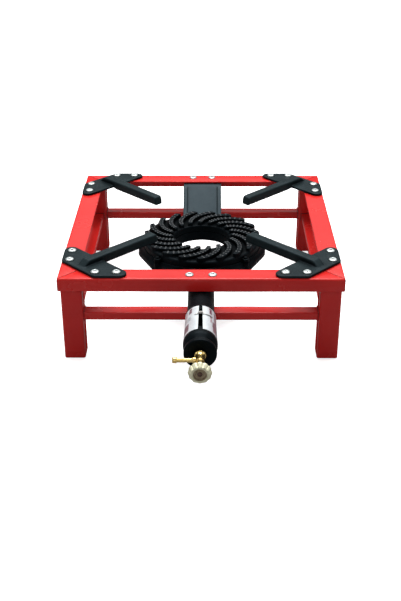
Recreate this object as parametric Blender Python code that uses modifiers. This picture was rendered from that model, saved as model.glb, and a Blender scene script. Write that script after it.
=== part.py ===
"""A gas ring burner on a square welded stand: angle-iron top, tube legs, cast pan supports, brass needle valve.

The stand is modelled about its own centre with the floor at z = 0, and one empty shifts the whole object so
that the origin lies under the middle of its footprint. The burner's mixing tube points to -Y, the user's side.
"""

import math

import bmesh
import bpy
from mathutils import Matrix

MM = 0.001
GAP = 0.3 * MM                   # left between a piece and the neighbour it touches
SMALL_MERGE = 0.00002            # merge distance of the turned pieces, in metres

# Stand
STAND_SIDE = 400 * MM            # outside of the top frame, both ways
STAND_HEIGHT = 130 * MM          # floor to the top of the angle rails
FLANGE_TOP = 30 * MM             # width of the angle's top leg
FLANGE_SIDE = 20 * MM            # depth of the angle's hanging leg
FLANGE_THICKNESS = 3 * MM
HEEL_RADIUS = 2 * MM
LEG_SIDE = 30 * MM
LEG_WALL = 2 * MM
LOWER_RAIL_WIDTH = 20 * MM
LOWER_RAIL_DEPTH = 12 * MM
LOWER_RAIL_WALL = 1.5 * MM
LOWER_RAIL_TOP = 72 * MM

# Pan supports
PLATE_THICKNESS = 4 * MM
PLATE_OUTER_CUT = 51 * MM        # x + y of the cut corner, from the stand's corner
PLATE_INNER_CUT = 111.4 * MM     # x + y of the inner edge
PLATE_EDGE = 0.8 * MM            # set back from the rail's outer face
BAR_WIDTH = 15.5 * MM
BAR_RISE = 12.5 * MM             # pan-support surface above the rails
BAR_TIP_RADIUS = 101 * MM        # distance of the bar's tip from the burner's axis
RIVET_FROM_EDGE = 12.4 * MM
RIVET_STATIONS = (52.4 * MM, 82.3 * MM)
RIVET_HEAD_RADIUS = 5.5 * MM
RIVET_SHANK_RADIUS = 2.5 * MM

# Burner
RING_OUTER = 91 * MM
RING_INNER = 44 * MM
BASE_OUTER = 100 * MM
BASE_BOTTOM = 77 * MM
BASE_TOP = 93 * MM
DECK_TOP = 103 * MM
FIN_TOP = 109 * MM
FIN_COUNT = 19
FIN_SWEEP = (math.radians(18), math.radians(19))    # straight and growing share of a fin's turn
FIN_WIDTHS = (6.6 * MM, 8.6 * MM)
LUG_CIRCLE = 94.5 * MM
LUG_RADIUS = 5.5 * MM
LUG_ANGLES = (45, 135, 225, 315)
CAP_LUG_TOP = 98 * MM

# Mixing tube and air shutter; stations are distances in front of the burner's axis
TUBE_AXIS = 91 * MM              # height of the tube's axis above the floor
TUBE_RADIUS = 18.6 * MM
TUBE_BORE = 14.5 * MM
TUBE_START = 150 * MM
COLLAR_START = 237 * MM
SEAT_START = 243 * MM
SEAT_END = 309.5 * MM
SEAT_RADII = (19.8 * MM, 21.4 * MM)
DISC_FRONT = 336.5 * MM
DISC_RADIUS = 21.7 * MM
SHUTTER_THICKNESS = 0.8 * MM
SHUTTER_SLOT = 5.5 * MM
SPRING_STATION = 268 * MM

# Rear support plate
REAR_PLATE_WIDTH = 64 * MM
REAR_PLATE_THICKNESS = 3 * MM
REAR_LIP = 7 * MM
REAR_LIP_RISE = 3 * MM

# Fixings
BOLT_SPACING = 32.2 * MM         # across the middle of the front and back rails
BOLT_RADIUS = 3 * MM
NUT_ACROSS_FLATS = 10 * MM
NUT_HEIGHT = 5 * MM

# Valve; stations are distances in front of the end disc's face
NECK_RADIUS = 7.6 * MM
BODY_RADIUS = 5.2 * MM
BODY_FRONT = 26 * MM
STEM_RADIUS = 1.6 * MM
NOZZLE_STATION = 14 * MM
NOZZLE_TIP = 35.5 * MM           # distance of the hose nozzle's tip from the valve's axis
KNOB_RADIUS = 15.3 * MM
KNOB_BACK = 35.5 * MM
KNOB_FRONT = 50.5 * MM
KNOB_LOBES = 12
SPINDLE_FRONT = KNOB_FRONT - 3.6 * MM

HALF = STAND_SIDE / 2
FORWARD_REACH = DISC_FRONT + KNOB_FRONT
Y_SHIFT = (FORWARD_REACH - HALF) / 2
DIAGONAL = HALF * math.sqrt(2)

RED = ("red_paint", (0.62, 0.015, 0.012), 0.28, 0.0)
CAST_BLACK = ("black_cast_iron", (0.02, 0.022, 0.023), 0.6, 0.5)
CAST_GREY = ("charcoal_cast_iron", (0.045, 0.055, 0.058), 0.55, 0.4)
PLATE_GREY = ("dark_grey_paint", (0.09, 0.11, 0.12), 0.5, 0.2)
ZINC = ("zinc_steel", (0.8, 0.82, 0.82), 0.3, 1.0)
SHEET = ("bright_sheet", (0.78, 0.79, 0.8), 0.25, 1.0)
BRASS = ("brass", (0.85, 0.62, 0.22), 0.28, 1.0)
SEAL = ("white_packing", (0.85, 0.85, 0.82), 0.6, 0.0)


# ---------------------------------------------------------------- scene

def clear_scene():
    for obj in list(bpy.data.objects):
        bpy.data.objects.remove(obj)


def new_collection(name):
    collection = bpy.data.collections.new(name)
    bpy.context.scene.collection.children.link(collection)
    return collection


def material_of(look):
    name, colour, roughness, metallic = look
    found = bpy.data.materials.get(name)
    if found:
        return found
    material = bpy.data.materials.new(name)
    material.use_nodes = True
    shader = material.node_tree.nodes["Principled BSDF"]
    shader.inputs["Base Color"].default_value = (*colour, 1)
    shader.inputs["Roughness"].default_value = roughness
    shader.inputs["Metallic"].default_value = metallic
    return material


clear_scene()
PARTS = new_collection("propane_burner_stand")
CUTTERS = new_collection("cutters")
CUTTERS.hide_render = True
ORIGIN = bpy.data.objects.new("stand_origin", None)
ORIGIN.location.y = Y_SHIFT
PARTS.objects.link(ORIGIN)


def add_part(name, mesh, look, location=(0, 0, 0), rotation=(0, 0, 0)):
    """One node: an object of this mesh, riding on the stand's origin."""
    if look and not mesh.materials:
        mesh.materials.append(material_of(look))
    obj = bpy.data.objects.new(name, mesh)
    obj.location = location
    obj.rotation_euler = rotation
    obj.parent = ORIGIN
    PARTS.objects.link(obj)
    return obj


def add_cutter(name, mesh, location=(0, 0, 0), rotation=(0, 0, 0)):
    """A tool body for a Boolean, left out of the render."""
    obj = bpy.data.objects.new(name, mesh)
    obj.location = location
    obj.rotation_euler = rotation
    obj.parent = ORIGIN
    obj.hide_render = True
    obj.display_type = "WIRE"
    CUTTERS.objects.link(obj)
    return obj


def boolean(obj, tool, operation="DIFFERENCE"):
    modifier = obj.modifiers.new(f"{operation.lower()}_{tool.name}", "BOOLEAN")
    modifier.operation = operation
    modifier.solver = "EXACT"
    modifier.object = tool


# ---------------------------------------------------------------- shapes

def mesh_from(bm, name):
    bmesh.ops.recalc_face_normals(bm, faces=bm.faces)
    mesh = bpy.data.meshes.new(name)
    bm.to_mesh(mesh)
    bm.free()
    return mesh


def add_prism(bm, outline, low, high):
    """A flat outline in X and Y, extruded from one height to another."""
    face = bm.faces.new([bm.verts.new((x, y, low)) for x, y in outline])
    extruded = bmesh.ops.extrude_face_region(bm, geom=[face])
    top = [item for item in extruded["geom"] if isinstance(item, bmesh.types.BMVert)]
    for vertex in top:
        vertex.co.z = high
    return top


def prism(name, outline, low, high):
    bm = bmesh.new()
    add_prism(bm, outline, low, high)
    return mesh_from(bm, name)


def arc(centre, radius, start, end, steps):
    """Points along an arc, both ends included; angles in degrees."""
    points = []
    for step in range(steps + 1):
        angle = math.radians(start + (end - start) * step / steps)
        points.append((centre[0] + radius * math.cos(angle), centre[1] + radius * math.sin(angle)))
    return points


def rounded_rectangle(width, height, radius, steps=3):
    x, y = width / 2 - radius, height / 2 - radius
    corners = (((x, y), 0), ((-x, y), 90), ((-x, -y), 180), ((x, -y), 270))
    return [point for centre, start in corners for point in arc(centre, radius, start, start + 90, steps)]


def hexagon(across_flats):
    return arc((0, 0), across_flats / math.sqrt(3), 0, 300, 5)


def circle(radius, steps, centre=(0, 0)):
    return arc(centre, radius, 0, 360 - 360 / steps, steps - 1)


def turned(name, profile, steps, closed=False):
    """A profile of (radius, height) pairs, run down its outer side, to be turned about Z."""
    mesh = bpy.data.meshes.new(name)
    count = len(profile)
    edges = [(index, index + 1) for index in range(count - 1)]
    if closed:
        edges.append((count - 1, 0))
    mesh.from_pydata([(radius, 0, height) for radius, height in profile], edges, [])
    mesh["turning_steps"] = steps
    return mesh


def turn(obj):
    """Puts the Screw modifier on an object whose mesh is a profile."""
    steps = obj.data["turning_steps"]
    modifier = obj.modifiers.new("turned", "SCREW")
    modifier.steps = steps
    modifier.render_steps = steps
    modifier.use_merge_vertices = True
    modifier.merge_threshold = SMALL_MERGE
    return obj


def cylinders(name, spots, radius, low, high, steps=12):
    """Upright cylinders in one mesh, for drilling a row of holes."""
    bm = bmesh.new()
    for spot in spots:
        add_prism(bm, circle(radius, steps, spot), low, high)
    return mesh_from(bm, name)


def forwards(station):
    """An object's location on the tube's axis, this far in front of the burner's axis."""
    return (0, -station, TUBE_AXIS)


ALONG_TUBE = (math.pi / 2, 0, 0)     # turns a shape's +Z to -Y, towards the user


# ---------------------------------------------------------------- stand

def angle_rail(name, quarter, holes):
    """One mitred side of the top frame. The front rail is drawn, and quarter turns place the others."""
    top = STAND_HEIGHT
    heel = arc((HEEL_RADIUS, top - HEEL_RADIUS), HEEL_RADIUS, 180, 90, 3)
    section = [(0, top - FLANGE_SIDE), *heel, (FLANGE_TOP, top), (FLANGE_TOP, top - FLANGE_THICKNESS),
               (FLANGE_THICKNESS, top - FLANGE_THICKNESS), (FLANGE_THICKNESS, top - FLANGE_SIDE)]
    bm = bmesh.new()
    end = bm.faces.new([bm.verts.new((-1, depth - HALF, height)) for depth, height in section])
    extruded = bmesh.ops.extrude_face_region(bm, geom=[end])
    for item in extruded["geom"]:
        if isinstance(item, bmesh.types.BMVert):
            item.co.x = 1
    for vertex in bm.verts:
        vertex.co.x *= -vertex.co.y - GAP / 2      # the mitre: as long as it is far from the centre
    rail = add_part(name, mesh_from(bm, name), RED, rotation=(0, 0, quarter * math.pi / 2))
    for radius, spots in holes:
        drill = cylinders(f"{name}_drill_{len(rail.modifiers)}", spots, radius + GAP, top - 2 * FLANGE_THICKNESS,
                          top + FLANGE_THICKNESS)
        boolean(rail, add_cutter(drill.name, drill, rotation=rail.rotation_euler))


def rivet_spots():
    """Rivet places on the front rail, from left to right."""
    stations = [HALF - station for station in RIVET_STATIONS]
    return [(side * x, RIVET_FROM_EDGE - HALF) for side in (-1, 1) for x in stations]


def bolt_spots():
    return [(side * BOLT_SPACING / 2, RIVET_FROM_EDGE - HALF) for side in (-1, 1)]


def top_frame():
    rivets = (RIVET_SHANK_RADIUS, rivet_spots())
    bolts = (BOLT_RADIUS, bolt_spots())
    for quarter, (side, holes) in enumerate((("front", (rivets, bolts)), ("right", (rivets,)),
                                             ("back", (rivets, bolts)), ("left", (rivets,)))):
        angle_rail(f"top_rail_{side}", quarter, holes)


def tube_leg(name, x_side, y_side):
    """A square tube, closed at the foot and open under the rails."""
    inset = HALF - FLANGE_THICKNESS - GAP - LEG_SIDE / 2
    place = (x_side * inset, y_side * inset, 0)
    outline = rounded_rectangle(LEG_SIDE, LEG_SIDE, 3 * MM)
    hollow = rounded_rectangle(LEG_SIDE - 2 * LEG_WALL, LEG_SIDE - 2 * LEG_WALL, 1.5 * MM)
    height = STAND_HEIGHT - FLANGE_THICKNESS - GAP
    leg = add_part(name, prism(name, outline, 0, height), RED, place)
    boolean(leg, add_cutter(f"{name}_hollow", prism(f"{name}_hollow", hollow, LEG_WALL, height + LEG_WALL), place))


def lower_rail(name, quarter):
    """A flat rectangular tube between two legs, centred on them."""
    inset = HALF - FLANGE_THICKNESS - GAP - LEG_SIDE / 2
    half_length = inset - LEG_SIDE / 2 - GAP
    outline = rounded_rectangle(LOWER_RAIL_DEPTH, LOWER_RAIL_WIDTH, 1.5 * MM, 2)
    hollow = rounded_rectangle(LOWER_RAIL_DEPTH - 2 * LOWER_RAIL_WALL, LOWER_RAIL_WIDTH - 2 * LOWER_RAIL_WALL,
                               0.5 * MM, 1)
    turn_z = quarter * math.pi / 2
    height = LOWER_RAIL_TOP - LOWER_RAIL_DEPTH / 2
    place = (inset * math.sin(turn_z), -inset * math.cos(turn_z), height)
    facing = (0, math.pi / 2, turn_z)
    rail = add_part(name, prism(name, outline, -half_length, half_length), RED, place, facing)
    tunnel = prism(f"{name}_hollow", hollow, -half_length - LEG_WALL, half_length + LEG_WALL)
    boolean(rail, add_cutter(tunnel.name, tunnel, place, facing))


def lower_frame():
    for y_name, y_side in (("front", -1), ("back", 1)):
        for x_name, x_side in (("left", -1), ("right", 1)):
            tube_leg(f"leg_{y_name}_{x_name}", x_side, y_side)
    for quarter, side in enumerate(("front", "right", "back", "left")):
        lower_rail(f"lower_rail_{side}", quarter)


# ---------------------------------------------------------------- pan supports

def support_plate_outline():
    """The corner plate: a strip across the corner with round lobes at its ends, from the front left corner."""
    lobe, blend = 10 * MM, 8 * MM
    lobe_across = PLATE_EDGE + lobe
    lobe_along = PLATE_INNER_CUT - lobe_across - lobe * math.sqrt(2)
    blend_across = PLATE_EDGE + blend
    blend_along = PLATE_OUTER_CUT - PLATE_EDGE + blend * math.tan(math.radians(22.5))
    half = [*arc((blend_across, blend_along), blend, 225, 180, 3), *arc((lobe_across, lobe_along), lobe, 180, 45, 6)]
    mirrored = [(y, x) for x, y in reversed(half)]
    return [(x - HALF, y - HALF) for x, y in half + mirrored]


def support_bar(name):
    """The bar's side view, extruded across its width, then turned onto the diagonal."""
    top = STAND_HEIGHT + BAR_RISE
    under = STAND_HEIGHT - 1.5 * MM
    plate_middle = STAND_HEIGHT + GAP + PLATE_THICKNESS / 2
    tip = DIAGONAL - BAR_TIP_RADIUS
    side_view = [(43 * MM, plate_middle), (43 * MM, STAND_HEIGHT + GAP + PLATE_THICKNESS), (54 * MM, top),
                 (tip - 2 * MM, top), (tip, top - 2 * MM), (tip + 2.5 * MM, under + 2 * MM), (tip, under),
                 (84 * MM, under), (74 * MM, plate_middle)]
    bm = bmesh.new()
    add_prism(bm, side_view, -BAR_WIDTH / 2, BAR_WIDTH / 2)
    for vertex in bm.verts:
        along, height, across = vertex.co
        taper = 1 - 0.07 * along / tip
        vertex.co = (along - DIAGONAL, across * taper, height)
    bmesh.ops.rotate(bm, verts=bm.verts, matrix=Matrix.Rotation(math.pi / 4, 3, "Z"))
    return mesh_from(bm, name)


def pan_supports():
    low = STAND_HEIGHT + GAP
    high = low + PLATE_THICKNESS
    plate = prism("pan_support_plate", support_plate_outline(), low, high)
    bar = support_bar("pan_support_bar")
    front, left = rivet_spots()[:2], [(y, x) for x, y in rivet_spots()[:2]]
    drill = cylinders("pan_support_drill", front + left, RIVET_SHANK_RADIUS + GAP, low - MM, high + MM)
    for quarter, corner in enumerate(("front_left", "front_right", "back_right", "back_left")):
        facing = (0, 0, quarter * math.pi / 2)
        support = add_part(f"pan_support_{corner}", plate, CAST_GREY, rotation=facing)
        boolean(support, add_cutter(f"pan_support_bar_{corner}", bar, rotation=facing), "UNION")
        boolean(support, add_cutter(f"pan_support_drill_{corner}", drill, rotation=facing))


def dome(radius, height, steps=3):
    """The outer side of a domed head, from its crown to its rim; heights from the rim."""
    return [(radius * math.sin(angle), height * math.cos(angle))
            for angle in (math.pi / 2 * step / steps for step in range(steps + 1))]


def rivets():
    seat = STAND_HEIGHT + 2 * GAP + PLATE_THICKNESS
    tail = STAND_HEIGHT - FLANGE_THICKNESS - GAP
    head = [(radius, seat + height) for radius, height in dome(RIVET_HEAD_RADIUS, 2.2 * MM)]
    shank = [(RIVET_SHANK_RADIUS, seat), (RIVET_SHANK_RADIUS, tail)]
    closing_head = [(4 * MM, tail), (3.4 * MM, tail - 1.5 * MM), (0, tail - 1.5 * MM)]
    mesh = turned("rivet", head + shank + closing_head, 12)
    for quarter, side in enumerate(("front", "right", "back", "left")):
        cosine, sine = round(math.cos(quarter * math.pi / 2)), round(math.sin(quarter * math.pi / 2))
        for number, (x, y) in enumerate(rivet_spots(), 1):
            place = (x * cosine - y * sine, x * sine + y * cosine, 0)
            turn(add_part(f"rivet_{side}_{number}", mesh, ZINC, place))


def rail_bolts():
    """Two bolts through the middle of the front rail, for the mixing tube, and two through the back rail."""
    seat = STAND_HEIGHT + GAP
    clamped = {"front": 5 * MM, "back": 3 * MM}
    for side, y_side in (("front", -1), ("back", 1)):
        nut_top = STAND_HEIGHT - FLANGE_THICKNESS - clamped[side] - 2 * GAP
        nut_bottom = nut_top - NUT_HEIGHT
        head = [(radius, seat + height) for radius, height in dome(RIVET_HEAD_RADIUS, 2.2 * MM)]
        shank = [(BOLT_RADIUS, seat), (BOLT_RADIUS, nut_bottom - 2 * MM), (0, nut_bottom - 2 * MM)]
        bolt = turned(f"rail_bolt_{side}", head + shank, 12)
        nut = prism(f"rail_nut_{side}", hexagon(NUT_ACROSS_FLATS), nut_bottom, nut_top)
        bore = cylinders(f"rail_nut_{side}_bore", [(0, 0)], BOLT_RADIUS + GAP, nut_bottom - MM, nut_top + MM)
        for hand, (x, y) in zip(("left", "right"), bolt_spots()):
            place = (x, -y_side * y, 0)
            turn(add_part(f"rail_bolt_{side}_{hand}", bolt, ZINC, place))
            holed = add_part(f"rail_nut_{side}_{hand}", nut, ZINC, place)
            boolean(holed, add_cutter(f"rail_nut_{side}_{hand}_bore", bore, place))


# ---------------------------------------------------------------- burner castings

def lug_spots():
    return [(LUG_CIRCLE * math.cos(math.radians(angle)), LUG_CIRCLE * math.sin(math.radians(angle)))
            for angle in LUG_ANGLES]


def throat(name, wall):
    """The flat throat of the mixing tube, lofted from a wide oval in the ring to the round tube."""
    sides = 20
    stations = 6
    oval_middle = BASE_BOTTOM + 7.6 * MM
    start, end = RING_OUTER - 8 * MM, TUBE_START + MM
    bm = bmesh.new()
    rings = []
    for station in range(stations + 1):
        share = station / stations
        ease = share * share * (3 - 2 * share)
        half_width = 31 * MM + (TUBE_RADIUS - 31 * MM) * ease - wall
        half_height = 7 * MM + (TUBE_RADIUS - 7 * MM) * ease - wall
        middle = oval_middle + (TUBE_AXIS - oval_middle) * ease
        y = -(start + (end - start) * share)
        rings.append([bm.verts.new((half_width * math.cos(angle), y, middle + half_height * math.sin(angle)))
                      for angle in (2 * math.pi * side / sides for side in range(sides))])
    for ring in (rings[0], rings[-1]):
        bm.faces.new(ring)
    for first, second in zip(rings, rings[1:]):
        for side in range(sides):
            after = (side + 1) % sides
            bm.faces.new((first[side], first[after], second[after], second[side]))
    return mesh_from(bm, name)


def tube_outside():
    """The cast tube's outer side, from its front face back to the throat; heights run forwards."""
    return [(0, DISC_FRONT), (DISC_RADIUS - MM, DISC_FRONT), (DISC_RADIUS, DISC_FRONT - MM),
            (DISC_RADIUS, 329.5 * MM), (19.2 * MM, 326 * MM), (19.2 * MM, 324 * MM), (22.4 * MM, 318.5 * MM),
            (22.8 * MM, 316 * MM), (22.8 * MM, SEAT_END), (SEAT_RADII[1], SEAT_END), (SEAT_RADII[0], SEAT_START),
            (21 * MM, SEAT_START), (20.4 * MM, 240 * MM), (TUBE_RADIUS, COLLAR_START), (TUBE_RADIUS, TUBE_START),
            (0, TUBE_START)]


def tube_bore():
    """The bore, the mixing chamber behind the end disc, and the hole for the valve's nose."""
    return [(0, DISC_FRONT + MM), (5.3 * MM, DISC_FRONT + MM), (5.3 * MM, DISC_FRONT - 6 * MM),
            (16.5 * MM, DISC_FRONT - 6 * MM), (17 * MM, 250 * MM), (TUBE_BORE, 232 * MM),
            (TUBE_BORE, TUBE_START - MM), (0, TUBE_START - MM)]


def hanger():
    """The cast lug on the tube that bolts up under the front rail: two ears on a web."""
    top = STAND_HEIGHT - FLANGE_THICKNESS - GAP
    ear, back, front = 5 * MM, -172 * MM, -195 * MM
    web, wide = 8 * MM, 24 * MM
    outline = [(-wide, top), (wide, top), (wide, top - ear), (web, top - ear), (web, TUBE_AXIS + 10 * MM),
               (-web, TUBE_AXIS + 10 * MM), (-web, top - ear), (-wide, top - ear)]
    bm = bmesh.new()
    add_prism(bm, outline, front, back)
    for vertex in bm.verts:
        x, height, y = vertex.co
        vertex.co = (x, y, height)
    return mesh_from(bm, "hanger")


def base_outline():
    """The base's outline from above: round at the front and back, with a flat on each side of every screw."""
    limit = BASE_OUTER + 0.2 * MM
    half = [*arc((0, 0), limit, -9, 9, 2), *arc((0, 0), limit, 41, 139, 9)]
    return half + [(-x, -y) for x, y in half]


def burner_body():
    """The lower casting: a ring channel, the throat, the mixing tube and its bell, and the hanger lug."""
    channel = 49 * MM, 87 * MM
    floor = BASE_BOTTOM + 5 * MM
    ring = [(92 * MM, BASE_TOP), (93.5 * MM, floor + 6 * MM), (99 * MM, floor + 1.5 * MM), (BASE_OUTER, floor),
            (BASE_OUTER, BASE_BOTTOM + MM), (BASE_OUTER - MM, BASE_BOTTOM), (RING_INNER + MM, BASE_BOTTOM),
            (RING_INNER, BASE_BOTTOM + MM), (RING_INNER, BASE_TOP), (channel[0], BASE_TOP), (channel[0], floor),
            (channel[1], floor), (channel[1], BASE_TOP)]
    body = turn(add_part("burner_body", turned("burner_body", ring, 40, closed=True), CAST_BLACK))
    outline = prism("base_outline", base_outline(), BASE_BOTTOM - MM, BASE_TOP + MM)
    boolean(body, add_cutter("base_outline", outline), "INTERSECT")
    boolean(body, add_cutter("throat", throat("throat", 0)), "UNION")
    tube = turn(add_cutter("tube", turned("tube", tube_outside(), 28), forwards(0), ALONG_TUBE))
    boolean(body, tube, "UNION")
    boolean(body, add_cutter("hanger", hanger()), "UNION")
    lugs = cylinders("base_lugs", lug_spots(), LUG_RADIUS, BASE_BOTTOM + 0.5 * MM, BASE_TOP - MM)
    boolean(body, add_cutter("base_lugs", lugs), "UNION")
    boolean(body, add_cutter("throat_hollow", throat("throat_hollow", 4 * MM)))
    boolean(body, turn(add_cutter("tube_bore", turned("tube_bore", tube_bore(), 16), forwards(0), ALONG_TUBE)))
    air_port = prism("air_port", rounded_rectangle(9 * MM, 48 * MM, 3 * MM, 2), TUBE_AXIS + 12 * MM,
                     TUBE_AXIS + 26 * MM)
    boolean(body, add_cutter("air_port", air_port, (0, -(SEAT_START + SEAT_END) / 2, 0)))
    screws = cylinders("base_screw_holes", lug_spots(), 2 * MM + GAP, BASE_BOTTOM + 3 * MM, BASE_TOP + MM, 8)
    boolean(body, add_cutter("base_screw_holes", screws))
    ears = cylinders("ear_holes", bolt_spots(), BOLT_RADIUS + GAP, STAND_HEIGHT - 12 * MM, STAND_HEIGHT)
    boolean(body, add_cutter("ear_holes", ears))
    taps = cylinders("rear_plate_taps", rear_screw_spots(), 2.5 * MM + GAP, BASE_BOTTOM - MM, BASE_BOTTOM + 4 * MM, 8)
    boolean(body, add_cutter("rear_plate_taps", taps))


def fin_line(share):
    """Radius and turn of a fin's centre line: nearly radial at the hole, nearly along the rim outside."""
    radius = RING_INNER + 1.5 * MM + (RING_OUTER - RING_INNER - 2.5 * MM) * share
    return radius, -share * (FIN_SWEEP[0] + FIN_SWEEP[1] * share)


def add_fin(bm, angle, low, high):
    """One curved fin: a strip of even steps along its centre line, wider towards the rim."""
    steps = 6
    centre = []
    for step in range(steps + 1):
        radius, sweep = fin_line(step / steps)
        centre.append((radius * math.cos(angle + sweep), radius * math.sin(angle + sweep)))
    left, right = [], []
    for step, (x, y) in enumerate(centre):
        before, after = centre[max(step - 1, 0)], centre[min(step + 1, steps)]
        along = math.hypot(after[0] - before[0], after[1] - before[1])
        normal = (before[1] - after[1]) / along, (after[0] - before[0]) / along
        half = (FIN_WIDTHS[0] + (FIN_WIDTHS[1] - FIN_WIDTHS[0]) * step / steps) / 2
        left.append((x + normal[0] * half, y + normal[1] * half))
        right.append((x - normal[0] * half, y - normal[1] * half))
    limit = RING_OUTER - 0.5 * MM
    outline = []
    for x, y in left + right[::-1]:
        trim = min(1, limit / math.hypot(x, y))
        outline.append((x * trim, y * trim))
    add_prism(bm, outline, low, high)


def burner_cap():
    """The upper casting: a deck with curved fins that carry the flame ports, and an ear at each screw."""
    low = BASE_TOP + GAP
    deck = [(RING_OUTER - 1.5 * MM, DECK_TOP - MM), (RING_OUTER, DECK_TOP - 2.5 * MM), (RING_OUTER, low),
            (RING_INNER, low), (RING_INNER, DECK_TOP)]
    cap = turn(add_part("burner_cap", turned("burner_cap", deck, 40, closed=True), CAST_BLACK))
    ears = cylinders("cap_ears", lug_spots(), LUG_RADIUS, low, CAP_LUG_TOP)
    boolean(cap, add_cutter("cap_ears", ears), "UNION")
    bm = bmesh.new()
    for fin in range(FIN_COUNT):
        add_fin(bm, 2 * math.pi * fin / FIN_COUNT, low + 2 * MM, FIN_TOP)
    boolean(cap, add_cutter("fins", mesh_from(bm, "fins")), "UNION")
    holes = cylinders("cap_screw_holes", lug_spots(), 2 * MM + GAP, low - MM, CAP_LUG_TOP + MM, 8)
    boolean(cap, add_cutter("cap_screw_holes", holes))


def cap_screws():
    seat = CAP_LUG_TOP + GAP
    end = BASE_BOTTOM + 4 * MM
    profile = [(0, seat + 2.4 * MM), (2.7 * MM, seat + 2.4 * MM), (3.2 * MM, seat + 1.7 * MM), (3.2 * MM, seat),
               (2 * MM, seat), (2 * MM, end), (0, end)]
    mesh = turned("cap_screw", profile, 8)
    names = ("back_right", "back_left", "front_left", "front_right")
    for name, (x, y) in zip(names, lug_spots()):
        turn(add_part(f"cap_screw_{name}", mesh, CAST_BLACK, (x, y, 0)))


# ---------------------------------------------------------------- rear support plate

def rear_screw_spots():
    return [(-17 * MM, 84 * MM), (17 * MM, 84 * MM)]


def rear_support_plate():
    """A pressed strip from under the back rail down to the burner's underside, with a raised lip on each side."""
    top = STAND_HEIGHT - FLANGE_THICKNESS - GAP
    foot = BASE_BOTTOM - GAP
    line = [(196 * MM, top), (170 * MM, top), (104 * MM, foot), (74 * MM, foot)]
    strip = side_strip("rear_support_plate", line, REAR_PLATE_THICKNESS, REAR_PLATE_WIDTH / 2, -REAR_PLATE_WIDTH / 2)
    plate = add_part("rear_support_plate", strip, PLATE_GREY)
    slope = math.atan2(top - foot, 66 * MM)
    raised = [(165 * MM, top - 5 * MM * math.tan(slope)), (109 * MM, foot + 5 * MM * math.tan(slope))]
    lifted = [(y, height + REAR_LIP_RISE) for y, height in raised]
    for side in (-1, 1):
        outer, inner = side * REAR_PLATE_WIDTH / 2, side * (REAR_PLATE_WIDTH / 2 - REAR_LIP)
        name = f"rear_lip_{'left' if side < 0 else 'right'}"
        boolean(plate, add_cutter(name, side_strip(name, lifted, REAR_LIP_RISE + MM, outer, inner)), "UNION")
    bolts = [(x, -y) for x, y in bolt_spots()]
    drill = cylinders("rear_plate_drill", bolts, BOLT_RADIUS + GAP, top - 6 * MM, top + MM)
    boolean(plate, add_cutter("rear_plate_drill", drill))
    lower = cylinders("rear_plate_foot_drill", rear_screw_spots(), 2.5 * MM + GAP, foot - 6 * MM, foot + MM)
    boolean(plate, add_cutter("rear_plate_foot_drill", lower))


def side_strip(name, line, thickness, x_from, x_to):
    """A strip that follows a line of (y, z) points seen from the side, with its thickness below the line."""
    under = [(y, height - thickness) for y, height in reversed(line)]
    bm = bmesh.new()
    add_prism(bm, line + under, min(x_from, x_to), max(x_from, x_to))
    for vertex in bm.verts:
        y, height, x = vertex.co
        vertex.co = (x, y, height)
    return mesh_from(bm, name)


def rear_plate_screws():
    seat = BASE_BOTTOM - 2 * GAP - REAR_PLATE_THICKNESS
    end = BASE_BOTTOM + 3.5 * MM
    profile = [(0, end), (2.5 * MM, end), (2.5 * MM, seat), (4.6 * MM, seat), (4.2 * MM, seat - 3 * MM),
               (0, seat - 3 * MM)]
    mesh = turned("rear_plate_screw", profile, 12)
    for hand, (x, y) in zip(("left", "right"), rear_screw_spots()):
        turn(add_part(f"rear_plate_screw_{hand}", mesh, ZINC, (x, y, 0)))


# ---------------------------------------------------------------- air shutter

def shutter_radius(station):
    """Inner radius of the shutter, which follows the bell's gentle flare."""
    share = (station - SEAT_START) / (SEAT_END - SEAT_START)
    return SEAT_RADII[0] + (SEAT_RADII[1] - SEAT_RADII[0]) * share + GAP


def band_section():
    """The split band's cross-section: a thin ring with a slot at the top."""
    outer = SEAT_RADII[0] + GAP + SHUTTER_THICKNESS
    inner = SEAT_RADII[0] + GAP
    slot = math.degrees(SHUTTER_SLOT / 2 / outer)
    return arc((0, 0), outer, 90 + slot, 450 - slot, 40) + arc((0, 0), inner, 450 - slot, 90 + slot, 40)


def air_shutter():
    """A split sheet band that turns on the bell; its slot stands over the air port when it is open."""
    start, end = SEAT_START + 2 * GAP, SEAT_END - 2 * GAP
    mesh = prism("air_shutter", band_section(), start, end)
    for vertex in mesh.vertices:
        flare = (shutter_radius(vertex.co.z) - SEAT_RADII[0] - GAP) / math.hypot(vertex.co.x, vertex.co.y)
        vertex.co.x *= 1 + flare
        vertex.co.y *= 1 + flare
    add_part("air_shutter", mesh, SHEET, forwards(0), ALONG_TUBE)


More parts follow.
